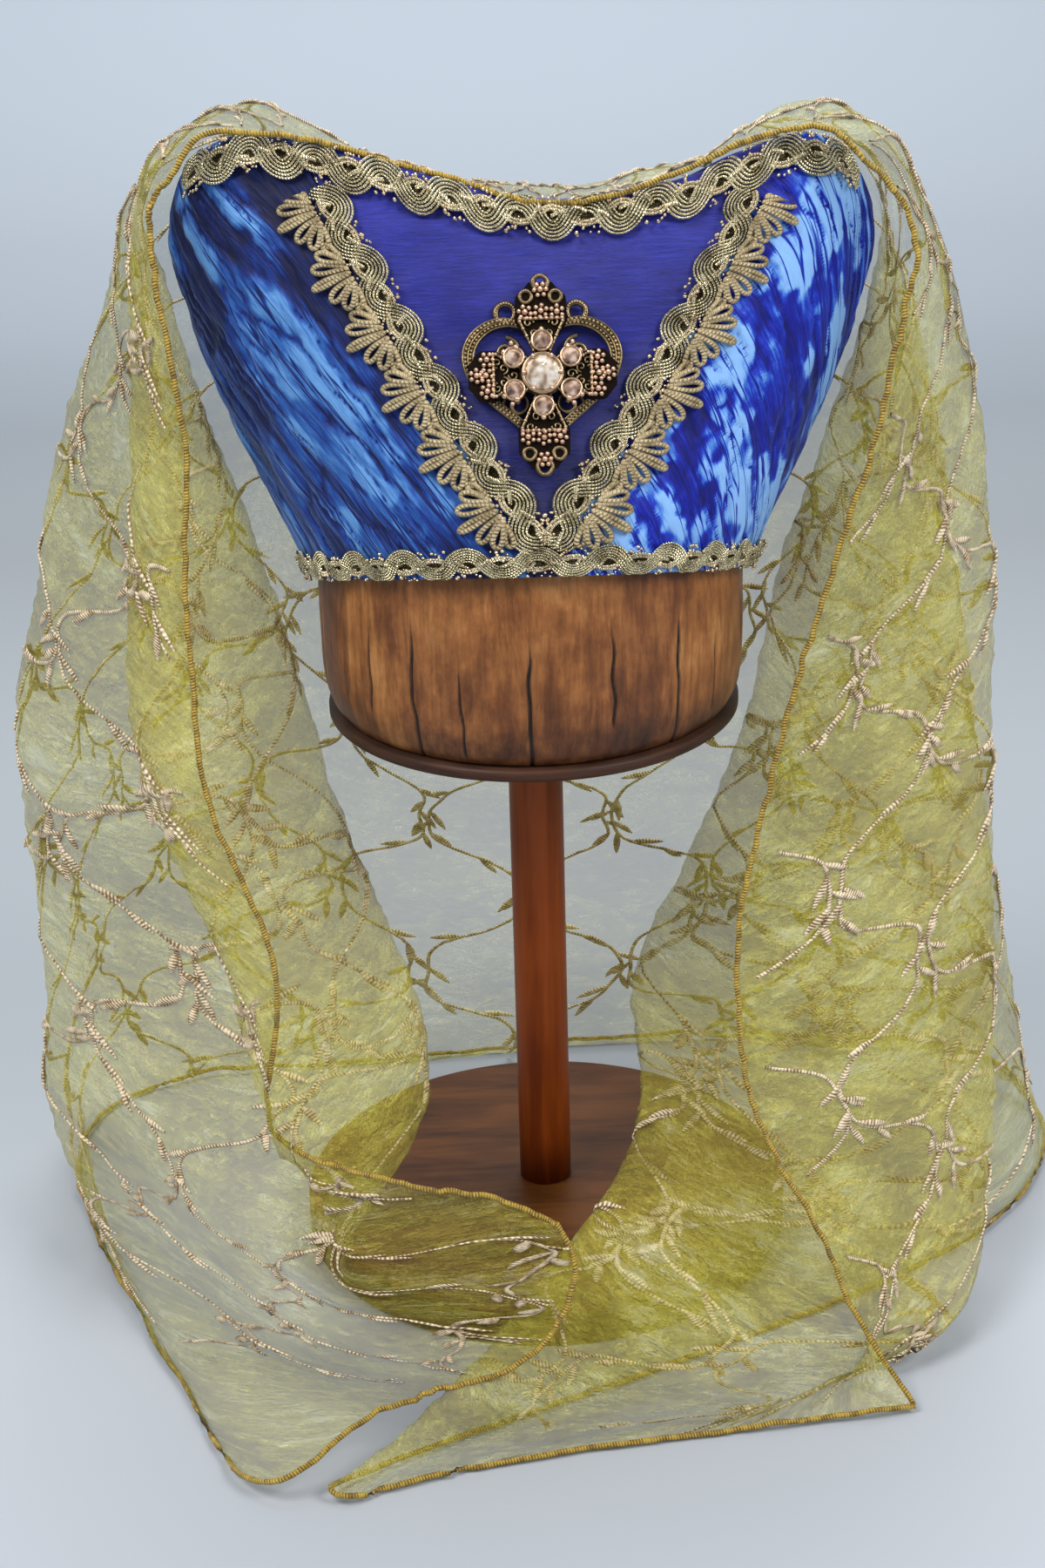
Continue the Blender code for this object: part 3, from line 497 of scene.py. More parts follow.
class VStrip(Strip):
    """The same for a slanting V trim, whose across direction points out and down."""

    def __init__(self, side):
        self.side = side
        shares = np.linspace(V_TRIM_LOW, V_TRIM_HIGH, 200)
        self.xs = v_line(side, shares)
        super().__init__(front_angle(self.xs, shares), shares)
        ends = crown(self.angles[[0, -1]], shares[[0, -1]])
        run = ends[1] - ends[0]
        self.slant = math.atan2(abs(run[0]), math.hypot(run[1], run[2]))

    def place(self, points):
        across = points[..., 1]
        share, x, reach = self.at(points, self.shares, self.xs, self.reach)
        x = x + self.side * math.cos(self.slant) * across
        share = np.clip(share - math.sin(self.slant) * across / reach, 0, 1)
        return crown(front_angle(x, share), share, points[..., 2])


# Materials

class Finish:
    """A material of one Principled shader, with short calls for the nodes that feed it."""

    def __init__(self, name, **sockets):
        self.made = bpy.data.materials.new(name)
        self.made.use_nodes = True
        self.tree = self.made.node_tree
        self.shader = self.tree.nodes["Principled BSDF"]
        for label, value in sockets.items():
            value = (*value, 1) if isinstance(value, tuple) else value
            self.shader.inputs[label.replace("_", " ")].default_value = value
        places = self.node("TexCoord").outputs
        self.uv, self.spot = places["UV"], places["Object"]

    def node(self, kind, inputs=None, **settings):
        """A node whose inputs, by label or number, are values or other nodes' outputs."""
        node = self.tree.nodes.new("ShaderNode" + kind)
        for label, value in settings.items():
            setattr(node, label, value)
        for label, value in (inputs or {}).items():
            if isinstance(value, bpy.types.NodeSocket):
                self.tree.links.new(value, node.inputs[label])
            else:
                node.inputs[label].default_value = value
        return node

    def attribute(self, name):
        return self.node("Attribute", attribute_name=name).outputs["Fac"]

    def axis(self, vector, label):
        return self.node("SeparateXYZ", {"Vector": vector}).outputs[label]

    def math(self, operation, first, second=0.5):
        return self.node("Math", {0: first, 1: second}, operation=operation).outputs["Value"]

    def times(self, first, second):
        return self.math("MULTIPLY", first, second)

    def total(self, first, *weighted):
        """A value, plus each of the others times its weight."""
        for value, weight in weighted:
            first = self.math("ADD", first, self.times(value, weight))
        return first

    def off_middle(self, value):
        return self.math("ABSOLUTE", self.math("SUBTRACT", value, 0.5))

    def share(self, value, low, high, start=0.0, end=1.0):
        """From start to end as the value goes from low to high."""
        inputs = {"Value": value, "From Min": low, "From Max": high, "To Min": start, "To Max": end}
        return self.node("MapRange", inputs).outputs["Result"]

    def noise(self, vector, scale, detail=3.0, roughness=0.5, distortion=0.0):
        """Noise of one scale, or of a scale along each axis."""
        if isinstance(scale, tuple):
            vector = self.node("Mapping", {"Vector": vector, "Scale": scale}).outputs["Vector"]
            scale = 1.0
        inputs = {"Vector": vector, "Scale": scale, "Detail": detail, "Roughness": roughness,
                  "Distortion": distortion}
        return self.node("TexNoise", inputs).outputs["Fac"]

    def ramp(self, factor, *stops):
        """A colour ramp through (place, (red, green, blue)) stops."""
        node = self.node("ValToRGB", {"Fac": factor})
        elements = node.color_ramp.elements
        while len(elements) < len(stops):
            elements.new(0.5)
        for element, (place, color) in zip(elements, stops):
            element.position = place
            element.color = (*color, 1)
        return node.outputs["Color"]

    def mix(self, factor, first, second, blend="MIX"):
        second = (*second, 1) if isinstance(second, tuple) else second
        inputs = {0: factor, 6: first, 7: second}
        return self.node("Mix", inputs, data_type="RGBA", blend_type=blend).outputs[2]

    def shaded(self, color, *shades):
        for shade in shades:
            color = self.mix(1.0, color, shade, "MULTIPLY")
        return color

    def ridges(self, each_metre):
        """Ridges that wind round a cord, whose UVs are its length and its turn."""
        turns = self.times(self.axis(self.uv, "X"), each_metre)
        turns = self.math("ADD", turns, self.axis(self.uv, "Y"))
        return self.math("SINE", self.times(turns, 2 * math.pi))

    def done(self, color, *bumps):
        """Joins the colour and the bumps of (height, strength, distance), one on the next."""
        self.tree.links.new(color, self.shader.inputs["Base Color"])
        normal = None
        for height, strength, distance in bumps:
            inputs = {"Height": height, "Strength": strength, "Distance": distance}
            if normal is not None:
                inputs["Normal"] = normal
            normal = self.node("Bump", inputs).outputs["Normal"]
        if normal is not None:
            self.tree.links.new(normal, self.shader.inputs["Normal"])
        return self.made


# Each side's colours. The right side's are lighter, painted as if more light fell on it; the left
# side's are darker, painted shade.
VELVET_STOPS = {
    -1: ((0.06, (0.002, 0.004, 0.040)), (0.30, (0.003, 0.012, 0.11)), (0.52, (0.007, 0.040, 0.26)),
         (0.74, (0.025, 0.12, 0.42)), (1.0, (0.12, 0.31, 0.66))),
    1: ((0.04, (0.002, 0.004, 0.13)), (0.30, (0.004, 0.010, 0.33)), (0.48, (0.009, 0.040, 0.52)),
        (0.64, (0.07, 0.22, 0.72)), (0.90, (0.27, 0.52, 0.95))),
}


def finish_velvet(name, side):
    """Crushed velvet: navy, painted light blue as highlight on its crushed patches and painted
    darker as shade along its creases, finely ribbed.
    """
    cloth = Finish(
        name, Roughness=0.6, Sheen_Weight=0.35, Sheen_Roughness=0.35,
        Sheen_Tint=(0.35, 0.55, 1.0), Specular_IOR_Level=0.3,
    )
    # Painted highlight and painted shade worked out on the mesh, broken up by noise.
    pile = cloth.attribute("pile")
    for scale, detail, weight in (
        ((34.0, 210.0, 1.0), 3.0, 0.9), ((150.0, 800.0, 1.0), 4.0, 0.6),
        ((500.0, 2400.0, 1.0), 1.0, 0.15),
    ):
        grain = cloth.noise(cloth.uv, scale, detail, 0.6)
        pile = cloth.total(pile, (cloth.math("SUBTRACT", grain, 0.5), weight))
    # Thin creases darken the colour: painted shade in the creases.
    creases = cloth.off_middle(cloth.noise(cloth.uv, (9.0, 150.0, 1.0), 3.0, 0.6, 0.3))
    pile = cloth.times(pile, cloth.share(creases, 0.004, 0.030, 0.30, 1.0))
    return cloth.done(cloth.ramp(pile, *VELVET_STOPS[side]), (pile, 0.5, 0.0012))


def finish_silk():
    """Slubbed silk: fine cross threads with thicker ones here and there, with painted shade low
    down and painted highlight towards the top.
    """
    cloth = Finish(
        "indigo_silk", Roughness=0.48, Sheen_Weight=0.15, Sheen_Tint=(0.5, 0.5, 1.0),
        Specular_IOR_Level=0.35, Anisotropic=0.5,
    )
    slubs = cloth.noise(cloth.uv, (90.0, 850.0, 1.0), 4.0, 0.7)
    threads = cloth.noise(cloth.uv, (3800.0, 600.0, 1.0), 1.0)
    cross = cloth.noise(cloth.uv, (300.0, 4200.0, 1.0), 1.0)
    cloudy = cloth.noise(cloth.uv, 26.0)
    base = cloth.ramp(
        slubs, (0.28, (0.008, 0.009, 0.12)), (0.52, (0.012, 0.015, 0.20)),
        (0.76, (0.024, 0.030, 0.30)),
    )
    shade = cloth.ramp(cloudy, (0.3, (0.70, 0.70, 0.76)), (0.7, (1.25, 1.25, 1.25)))
    # Painted shade at the bottom of the panel and painted highlight at its top, by height.
    level = cloth.share(cloth.axis(cloth.spot, "Z"), 0.34, 0.445)
    painted_height_light = cloth.ramp(level, (0.0, (0.36, 0.34, 0.34)), (1.0, (1.38, 1.35, 1.35)))
    weave = cloth.total(cross, (threads, 0.4))
    return cloth.done(
        cloth.shaded(base, shade, painted_height_light), (slubs, 0.5, 0.0006), (weave, 0.35, 0.0003)
    )


def finish_cord(name, dark, light, metallic, roughness, each_metre):
    """Metallic thread wound round a core: slanting ridges along the cord's own length."""
    cord = Finish(name, Metallic=metallic)
    ridges = cord.ridges(each_metre)
    tarnish = cord.noise(cord.spot, 160.0, 3.0, 0.6)
    sparkle = cord.noise(cord.spot, 1400.0, 2.0)
    tone = cord.attribute("tone")
    both = cord.total(cord.times(tarnish, 0.6), (sparkle, 0.4), (tone, 0.08))
    color = cord.ramp(both, (0.36, dark), (0.60, light))
    color = cord.mix(cord.times(tone, 0.5), color, (0.60, 0.40, 0.26))
    rough = cord.share(sparkle, 0.0, 1.0, roughness * 0.7, roughness * 1.3)
    cord.tree.links.new(rough, cord.shader.inputs["Roughness"])
    return cord.done(color, (ridges, 0.9, 0.0003))


def finish_brass():
    """Antiqued brass: dark in the hollows, rubbed on the high grains."""
    brass = Finish("antique_brass", Metallic=0.95, Roughness=0.33)
    patina = brass.noise(brass.spot, 420.0, 4.0, 0.6)
    both = brass.total(brass.times(patina, 0.5), (brass.attribute("tone"), 0.35))
    color = brass.ramp(
        both, (0.0, (0.020, 0.012, 0.008)), (0.20, (0.16, 0.12, 0.060)),
        (0.36, (0.34, 0.25, 0.13)), (0.60, (0.74, 0.50, 0.36)),
    )
    return brass.done(color, (patina, 0.4, 0.0003))


def finish_stone(name, dark, middle, light):
    """Cut glass with a foiled back, cloudy in depth."""
    glass = Finish(
        name, Metallic=0.35, Roughness=0.05, Coat_Weight=1.0, Coat_Roughness=0.02, IOR=1.7,
    )
    depth = glass.noise(glass.spot, 300.0, 1.0)
    return glass.done(glass.ramp(depth, (0.36, dark), (0.5, middle), (0.62, light)))


def finish_organza():
    """Sheer crinkled organza with a metallic shimmer, evenly see-through."""
    cloth = Finish(
        "sheer_organza", Alpha=0.37, Roughness=0.30, Metallic=0.25, Specular_IOR_Level=0.6,
        Sheen_Weight=0.25, Sheen_Tint=(0.9, 0.9, 0.4), Sheen_Roughness=0.4,
    )
    tone = cloth.noise(cloth.uv, 22.0)
    folds = []
    for scale, detail in ((55.0, 4.0), (150.0, 5.0)):
        field = cloth.noise(cloth.uv, (scale, scale * 1.5, 1.0), detail, 0.6, 0.5)
        folds.append(cloth.times(cloth.off_middle(field), 6.0))
    shimmer = cloth.noise(cloth.uv, 1300.0, 2.0)
    # The fold ridges also set the colour: painted shade in the crinkle valleys and painted
    # highlight on their crests, with painted glints from the shimmer.
    both = cloth.total(
        cloth.times(tone, 0.55), (folds[0], 0.12), (folds[1], 0.10), (shimmer, 0.20)
    )
    color = cloth.ramp(
        both, (0.36, (0.36, 0.28, 0.012)), (0.49, (0.76, 0.68, 0.075)), (0.63, (1.0, 0.98, 0.50)),
    )
    return cloth.done(
        color, (folds[0], 0.8, 0.0018), (folds[1], 0.8, 0.0009), (shimmer, 0.5, 0.0006)
    )


def finish_thread(name, dark, light, roughness):
    """Embroidery silk: short slanting stitches with a soft shine."""
    thread = Finish(name, Roughness=roughness, Sheen_Weight=0.1)
    stitches = thread.ridges(900.0)
    # Random wear, with painted shade between the stitches.
    wear_and_stitch_shade = thread.total(thread.noise(thread.spot, 300.0), (stitches, 0.14))
    return thread.done(thread.ramp(wear_and_stitch_shade, (0.35, dark), (0.60, light)), (stitches, 0.8, 0.0003))


def finish_block_wood():
    """Worn hat block: long upright streaks, rubbed pale patches, darker towards the foot, cracks
    with painted shade in them.
    """
    block = Finish("block_wood", Roughness=0.45, Specular_IOR_Level=0.35)
    streaks = block.noise(block.spot, (42.0, 42.0, 10.0), 8.0, 0.68, 0.6)
    fine = block.noise(block.spot, (420.0, 420.0, 42.0), 5.0, 0.65)
    patches = block.noise(block.spot, 30.0, 6.0, 0.65)
    wood = block.ramp(
        block.total(block.times(streaks, 0.55), (patches, 0.45)),
        (0.36, (0.060, 0.018, 0.005)), (0.46, (0.17, 0.055, 0.014)),
        (0.54, (0.31, 0.115, 0.030)), (0.66, (0.54, 0.26, 0.085)),
    )
    grain = block.ramp(fine, (0.3, (0.66, 0.62, 0.58)), (0.6, (1.12, 1.12, 1.12)))
    # Darker towards the foot of the block.
    wobble = block.total(block.axis(block.spot, "Z"), (patches, 0.03))
    level = block.share(wobble, 0.258, 0.290)
    darker_towards_foot = block.ramp(level, (0.0, (0.38, 0.33, 0.30)), (0.6, (1.0, 1.0, 1.0)))
    wood = block.shaded(wood, grain, darker_towards_foot)
    # Painted shade: the cracks are coloured near black, the shade inside their grooves.
    wood = block.mix(block.attribute("crack"), wood, (0.012, 0.006, 0.004))
    return block.done(wood, (fine, 0.3, 0.0005))


def finish_stand_wood(name, dark, light, grain_scale, roughness):
    """Varnished turned wood with fine grain."""
    stand = Finish(name, Roughness=roughness, Specular_IOR_Level=0.2, Coat_Weight=0.02)
    grain = stand.noise(stand.spot, grain_scale, 5.0, 0.6, 0.5)
    both = stand.total(stand.times(grain, 0.65), (stand.noise(stand.spot, 18.0), 0.35))
    return stand.done(stand.ramp(both, (0.36, dark), (0.62, light)), (grain, 0.15, 0.0004))


def finish_backdrop():
    """Pale paper with painted half shadow: darker in a band behind the stand, lighter in front and
    up the wall.
    """
    paper = Finish("studio_paper", Roughness=0.95)
    # Painted shade: a darker band on the floor behind the stand, lighter towards the front and up
    # the wall.
    return paper.done(paper.ramp(
        paper.share(paper.axis(paper.spot, "Y"), -0.3, 3.0),
        (0.06, (0.42, 0.445, 0.490)), (0.13, (0.34, 0.365, 0.395)), (0.24, (0.30, 0.320, 0.345)),
        (0.44, (0.245, 0.260, 0.275)), (0.62, (0.265, 0.285, 0.310)), (0.88, (0.42, 0.455, 0.50)),
        (1.0, (0.57, 0.62, 0.68)),
    ))


# Settings

def metres(name, description, default):
    return bpy.props.FloatProperty(
        name=name, description=description, default=default, unit="LENGTH",
    )


class StandSettings(bpy.types.PropertyGroup):
    """The wooden stand's detail."""

    crack_depth: metres("Crack depth", "How deep the hat block's cracks are", 0.0012)


class CrownSettings(bpy.types.PropertyGroup):
    """The headdress's cloth and trims."""

    crush_depth: metres("Crush depth", "Depth of the velvet's ruches", 0.0011)
    braid_width: metres("Braid width", "Width of the wave braid", 0.017)
    braid_period: metres("Braid period", "Length of one wave of the braid", 0.0245)
    fringe_length: metres("Fringe length", "Length of the longest loop of the fringe", 0.0150)


class VeilSettings(bpy.types.PropertyGroup):
    """The veil's cloth and embroidery."""

    crinkle: metres("Crinkle", "Height of the cloth's crinkles", 0.0016)
    cell_width: metres("Lattice width", "Width of one cell of the vine lattice", 0.066)
    cell_height: metres("Lattice height", "Height of one cell of the vine lattice", 0.084)


# Stand

class HEADDRESS_OT_stand(bpy.types.Operator):
    """Builds the base disc, the post, the plate and the cracked hat block"""

    bl_idname = "headdress.stand"
    bl_label = "Stand"

    def execute(self, context):
        _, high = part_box("base_disc")
        radius, top, edge = high.x, high.z, 0.003
        profile = [(0.0, top), (0.03, top), (0.07, top)]
        profile += [(radius - edge + edge * math.sin(a), top - edge + edge * math.cos(a))
                    for a in np.linspace(0, math.pi / 2, 6)]
        profile += [(radius, edge / 2), (radius - edge / 2, 0.0), (0.05, 0.0), (0.0, 0.0)]
        wood = finish_stand_wood(
            "base_wood", (0.046, 0.012, 0.002), (0.16, 0.054, 0.010), (14.0, 90.0, 40.0), 0.5
        )
        self.turned("turned_base", turned_grid(profile, 128), wood, "wood_stand", "base_disc")

        low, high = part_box("stand_post")
        profile = [(0.0, high.z)] + [(high.x, z) for z in np.linspace(high.z, low.z, 12)]
        wood = finish_stand_wood(
            "post_wood", (0.14, 0.022, 0.002), (0.31, 0.062, 0.006), (160.0, 160.0, 8.0), 0.4
        )
        profile.append((0.0, low.z))
        self.turned("round_post", turned_grid(profile, 48), wood, "wood_stand", "stand_post")

        low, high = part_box("block_plate")
        scales, edge = (0.0, 0.985, 1.0, 1.0, 0.985, 0.0), 0.0012
        heights = (high.z, high.z, high.z - edge, low.z + edge, low.z, low.z)
        plate = oval_grid(scales, heights, high.x, high.y, 128)
        wood = finish_stand_wood(
            "plate_wood", (0.020, 0.009, 0.006), (0.075, 0.030, 0.016), (30.0, 30.0, 400.0), 0.5
        )
        self.turned("oval_plate", plate, wood, "wood_plate", "block_plate")
        self.build_block(context.scene.headdress_stand.crack_depth)
        return {"FINISHED"}

    def turned(self, name, grid, finish, slot, node, **values):
        faces = grid_faces(*grid.shape[:2], True, True)
        make_piece(name, (grid, faces, None, values), finish, slot, node)

    def build_block(self, crack_depth):
        """The oval block: its side, with each crack a narrow V groove that wanders."""
        heights = np.concatenate([
            np.linspace(BLOCK_FOOT, 0.310, 62), np.linspace(0.313, BLOCK_TOP, 14),
        ])
        scales = table_curve(BLOCK_PROFILE, BLOCK_COLUMNS, "scale", heights)
        heights = np.concatenate([[BLOCK_FOOT], heights, [BLOCK_TOP]])[::-1]
        scales = np.concatenate([[0.0], scales, [0.0]])[::-1]
        grid = oval_grid(scales, heights, BLOCK_HALF_WIDTH, BLOCK_HALF_DEPTH, BLOCK_COUNT)
        z = grid[..., 2]
        turn = np.degrees(np.arctan2(grid[..., 1], grid[..., 0]))
        crack = np.zeros(turn.shape)
        for number, (place, width, top, foot) in enumerate(BLOCK_CRACKS):
            wander = 0.6 * cloud(z, np.full_like(turn, number), 0.009, 5)
            away = np.abs((turn - place - wander + 180) % 360 - 180)
            away = np.radians(away) * BLOCK_MEAN_RADIUS
            fade = ease(z, foot - 0.004, foot) * (1 - ease(z, top - 0.020, top))
            depth = np.clip(1 - away / (width * (0.4 + 0.7 * fade)), 0, 1) * fade
            crack = np.maximum(crack, depth)
        inward = -unit(grid * np.array([1, 1, 0]) + 1e-9)
        dents = 0.0004 * cloud(turn * 0.0016, z, 0.012, 9)
        grid = grid + inward * (crack_depth * crack + np.abs(dents))[..., None]
        # dark is the painted shade inside each crack, strongest along its middle.
        dark = np.clip(1.8 * crack, 0, 1)
        self.turned(
            "cracked_block", grid, finish_block_wood(), "wood_block", "hat_block", crack=dark
        )


# Crown cloth

def wall(points, u, v, values):
    """A cloth wall: the outer grid, the same grid moved in, and strips round its edges."""
    inner = points - WALL * grid_normals(points)
    rows, columns = points.shape[:2]
    shift = rows * columns
    index = np.arange(shift).reshape(rows, columns)
    loop = np.concatenate([index[0, :], index[1:, -1], index[-1, -2::-1], index[-2:0:-1, 0]])
    after = np.roll(loop, -1)
    rim = np.stack([after, loop, loop + shift, after + shift], -1)
    faces = [grid_faces(rows, columns), grid_faces(rows, columns, flip=True) + shift, rim]
    uv = grid_uv(u, v)
    rim_uv = np.stack([u, v], -1).reshape(-1, 2)[rim % shift]
    values = {label: np.concatenate([n.ravel(), n.ravel()]) for label, n in values.items()}
    uv = np.concatenate([uv, uv[:, ::-1], rim_uv])
    return np.stack([points, inner]).reshape(-1, 3), np.vstack(faces), uv, values


class HEADDRESS_OT_velvet(bpy.types.Operator):
    """Builds the crushed velvet sides and the top panel between the horns"""

    bl_idname = "headdress.velvet"
    bl_label = "Velvet"

    def execute(self, context):
        depth = context.scene.headdress_crown.crush_depth
        # patchy is how much painted highlight patch each side gets; the right side gets more.
        for side, name, rise, patchy in ((-1, "left", 56, 0.30), (1, "right", 44, 0.62)):
            across, share = np.meshgrid(np.linspace(0, 1, 300), np.linspace(0, 1, 150))
            start = front_angle(seam_x(side, share) + side * SEAM_GAP, share)
            back = np.pi / 2 - SEAM_GAP / CROWN_SECTIONS[0][3]
            end = back if side > 0 else -np.pi - back
            angle = start + (end - start) * across
            fade = ease(across, 0.0, 0.05) * ease(1 - across, 0, 0.04)
            fade = fade * ease(share, 0, 0.10) * ease(1 - share, 0, 0.08)
            along, over = self.streak_places(angle, share, math.radians(rise))
            pile, height = self.crushed(along, over, 20 * side + 50, patchy)
            points = crown(angle, share, depth * fade * (height - 1.0))
            grids = [points, along, over, pile]
            if side < 0:
                grids = [grid[:, ::-1] for grid in grids]
            made = wall(*grids[:3], {"pile": grids[3]})
            cloth = finish_velvet("crushed_velvet_" + name, side)
            velvet = make_piece("velvet_side_" + name, made, cloth, "velvet", "velvet_" + name)
        self.build_top()
        return {"FINISHED"}

    def streak_places(self, angle, share, rise):
        """Places along and across the streaks, which run down to the right at the front."""
        u, v = (angle + np.pi / 2) * 0.115, share * 0.14
        along = -u * math.cos(rise) + v * math.sin(rise)
        over = u * math.sin(rise) + v * math.cos(rise)
        return along, over + 0.009 * cloud(along, over, 0.06, 11)

    def crushed(self, along, over, seed, patchy):
        """How light the velvet is painted and how high it stands, from long creases, short ones and
        patches: the light patches are painted highlight and the creases painted shade.
        """
        ragged = over + 0.0016 * cloud(along, over, 0.008, seed)
        ragged = ragged + 0.0010 * cloud(along, over, 0.003, seed + 1)
        creases = np.abs(cloud(along * 0.14, ragged, 0.0046, seed + 2))
        small = np.abs(cloud(along * 0.20, ragged, 0.0026, seed + 3))
        broad = cloud(along * 0.25, ragged, 0.013, seed + 4)
        patches = cloud(along * 0.42, ragged, 0.0095, seed + 5)
        patches += 0.7 * cloud(along * 0.5, ragged, 0.0040, seed + 6)
        # Painted highlight: broad light areas and shine patches. Painted shade: the dark lines
        # along the creases.
        light = 0.62 * ease(broad, -0.40, 0.55) + 0.25 * ease(creases, 0.0, 0.4) + 0.13 * small
        shine = ease(patches + 0.7 * broad, -0.20, 0.44) * (0.80 + 0.40 * creases)
        light = light * (1 - patchy) + patchy * (0.22 * light + shine)
        light = light * ease(creases, -0.06, 0.10)
        return light, 0.9 * ease(creases, 0, 0.5) + 0.5 * broad + 0.25 * small

    def build_top(self):
        """The saddle between the horns: ruled from the front rim to the back rim."""
        angle, w = np.meshgrid(np.linspace(np.pi - 0.12, 0.12, 120), np.linspace(0, 1, 40))
        lift = np.full_like(angle, TOP_LIFT)
        front, back = crown(-angle, TOP_SHARE, lift), crown(angle, TOP_SHARE, lift)
        points = front + (back - front) * w[..., None]
        sag = 0.0006 * cloud(points[..., 0], points[..., 1], 0.012, 61) - TOP_SAG
        points[..., 2] += sag * np.sin(np.pi * w) * np.sin(angle)
        u, v = points[..., 0], points[..., 1]
        pile, _ = self.crushed(u, v, 90, 0.5)
        cloth = finish_velvet("crushed_velvet_top", 1)
        top = make_piece(
            "velvet_top", wall(points, u, v, {"pile": pile}), cloth, "velvet", "crown_top"
        )


class HEADDRESS_OT_silk(bpy.types.Operator):
    """Builds the silk V panel"""

    bl_idname = "headdress.silk"
    bl_label = "Silk panel"

    def execute(self, context):
        across, share = np.meshgrid(np.linspace(0, 1, 120), np.linspace(0, 1, 120))
        left = front_angle(seam_x(-1, share) + SEAM_GAP, share)
        right = front_angle(seam_x(1, share) - SEAM_GAP, share)
        angle = left + (right - left) * across
        points = crown(angle, share)
        fade = ease(across, 0, 0.1) * ease(1 - across, 0, 0.1) * ease(1 - share, 0, 0.1)
        puckers = cloud(points[..., 0] * 0.45, points[..., 2], 0.0055, 71)
        points = crown(angle, share, -0.0005 * fade * (1 - puckers))
        made = wall(points, points[..., 0], points[..., 2], {})
        panel = make_piece("silk_panel", made, finish_silk(), "silk", "front_panel")
        return {"FINISHED"}


# Braids

def wave_bundle(length, period, scale, offsets, hand=1.0, steep=60.0):
    """Parallel cords on one winding line, so that they are arcs about a centre at each bend.

    The line's direction swings between steep degrees up and down as the cosine of its phase;
    each cord is the line moved sideways by its offset.
    """
    each = 44
    phase = 2 * np.pi * np.arange(int(math.ceil(length / period)) * each + 1) / each
    heading = hand * math.radians(steep) * np.cos(phase)
    step = period / (each * np.cos(heading[:each]).mean())
    between = (heading[1:] + heading[:-1]) / 2
    along = np.concatenate([[0], np.cumsum(step * np.cos(between))])
    across = np.concatenate([[0], np.cumsum(step * np.sin(between))]) * scale
    kept = along <= length
    along, across, heading, phase = along[kept], across[kept], heading[kept], phase[kept]
    offsets = np.asarray(offsets)[:, None] * scale
    return along - offsets * np.sin(heading), across + offsets * np.cos(heading), phase


def braid_parts(strip, width, period):
    """One braid: a winding bundle of six cords, two gimps that cross it, and its ground.

    Beads are heaped in the bends, and short flat twists lie over the middle.
    """
    length = strip.length
    scale = width / BRAID_DESIGN_WIDTH
    thin = scale**0.5
    offsets = np.linspace(-BUNDLE_REACH, BUNDLE_REACH, BUNDLE_CORDS)
    x, y, phase = wave_bundle(length, period, scale, offsets)
    paths = xyz(x, y, 0.0016 + 0.0006 * np.cos(2 * phase))
    parts = [placed(strip, cord_mesh(paths, BUNDLE_RADIUS * thin))]
    x, y, phase = wave_bundle(length, period, scale * 0.8, GIMP_OFFSETS, -1.0, 50.0)
    paths = xyz(x, y, 0.0019 - 0.0005 * np.cos(2 * phase))
    parts.append(placed(strip, cord_mesh(paths, GIMP_RADIUS * thin), 0.4))
    ground_x = np.linspace(0, length, int(length / 0.002))
    along, across = np.meshgrid(ground_x, np.linspace(-0.20, 0.20, 4))
    ground = (xyz(along, across * width, 0.0006), grid_faces(*along.shape, flip=True),
              grid_uv(along * 3, across))
    # The ground joins the parts; its low tone darkens it as painted shade in the gaps between the
    # cords.
    parts.append(placed(strip, ground, -2.0))

    rng = np.random.default_rng(3)
    knots = np.arange(period / 4, length - 0.002, period / 2)
    side = np.where(np.arange(len(knots)) % 2 == 0, -1.0, 1.0)
    centre = xyz(knots, side * BEND_AWAY * scale, 0.0022)
    spread = rng.uniform(-1, 1, (len(knots), BEND_GRAINS, 3))
    spread = spread * (np.array(GRAIN_SPREAD) * (1, scale, 1))
    grains = (centre[:, None] + spread).reshape(-1, 3)
    radii = rng.uniform(GRAIN_LEAST, GRAIN_MOST, len(grains)) * thin
    parts.append(placed(strip, bead_mesh(grains, radii, 4, 6), 1.0))

    middle = np.arange(0.004, length - 0.004, period / 3)[:, None]
    lean = rng.uniform(-1.3, 1.3, middle.shape)
    aside = rng.uniform(-0.0022, 0.0022, middle.shape) * scale
    w = np.linspace(-1, 1, 7)
    twist = xyz(
        middle + TWIST_REACH * np.cos(lean) * w,
        aside + TWIST_REACH * scale * np.sin(lean) * w,
        0.0027 + 0.0004 * np.cos(np.pi * w),
    )
    parts.append(placed(strip, cord_mesh(twist, TWIST_RADIUS * scale, flat=0.35), 0.2))
    return parts


class HEADDRESS_OT_braids(bpy.types.Operator):
    """Builds the wave braid on the hem, the rim and both sides of the V"""

    bl_idname = "headdress.braids"
    bl_label = "Braids"

    def execute(self, context):
        settings = context.scene.headdress_crown
        width, period = settings.braid_width, settings.braid_period
        gold = finish_cord(
            "braid_gold", (0.26, 0.21, 0.105), (0.98, 0.89, 0.62), 0.92, 0.25, 900.0
        )
        round_hem = np.linspace(-np.pi, np.pi, 500)
        hem = Strip(round_hem, HEM_BRAID_RISE / height_length(round_hem))
        front = np.linspace(-np.pi + RIM_BRAID_END, -RIM_BRAID_END, 400)
        rim = Strip(front, 1.0 - RIM_BRAID_DROP / height_length(front))
        for node, strip, across in (
            ("hem_braid", hem, HEM_BRAID_WIDTH), ("rim_braid", rim, width),
            ("v_braid_left", VStrip(-1), width), ("v_braid_right", VStrip(1), width),
        ):
            made = joined(braid_parts(strip, across, period))
            make_piece("cord_" + node, made, gold, "braid_gold", node)
        return {"FINISHED"}


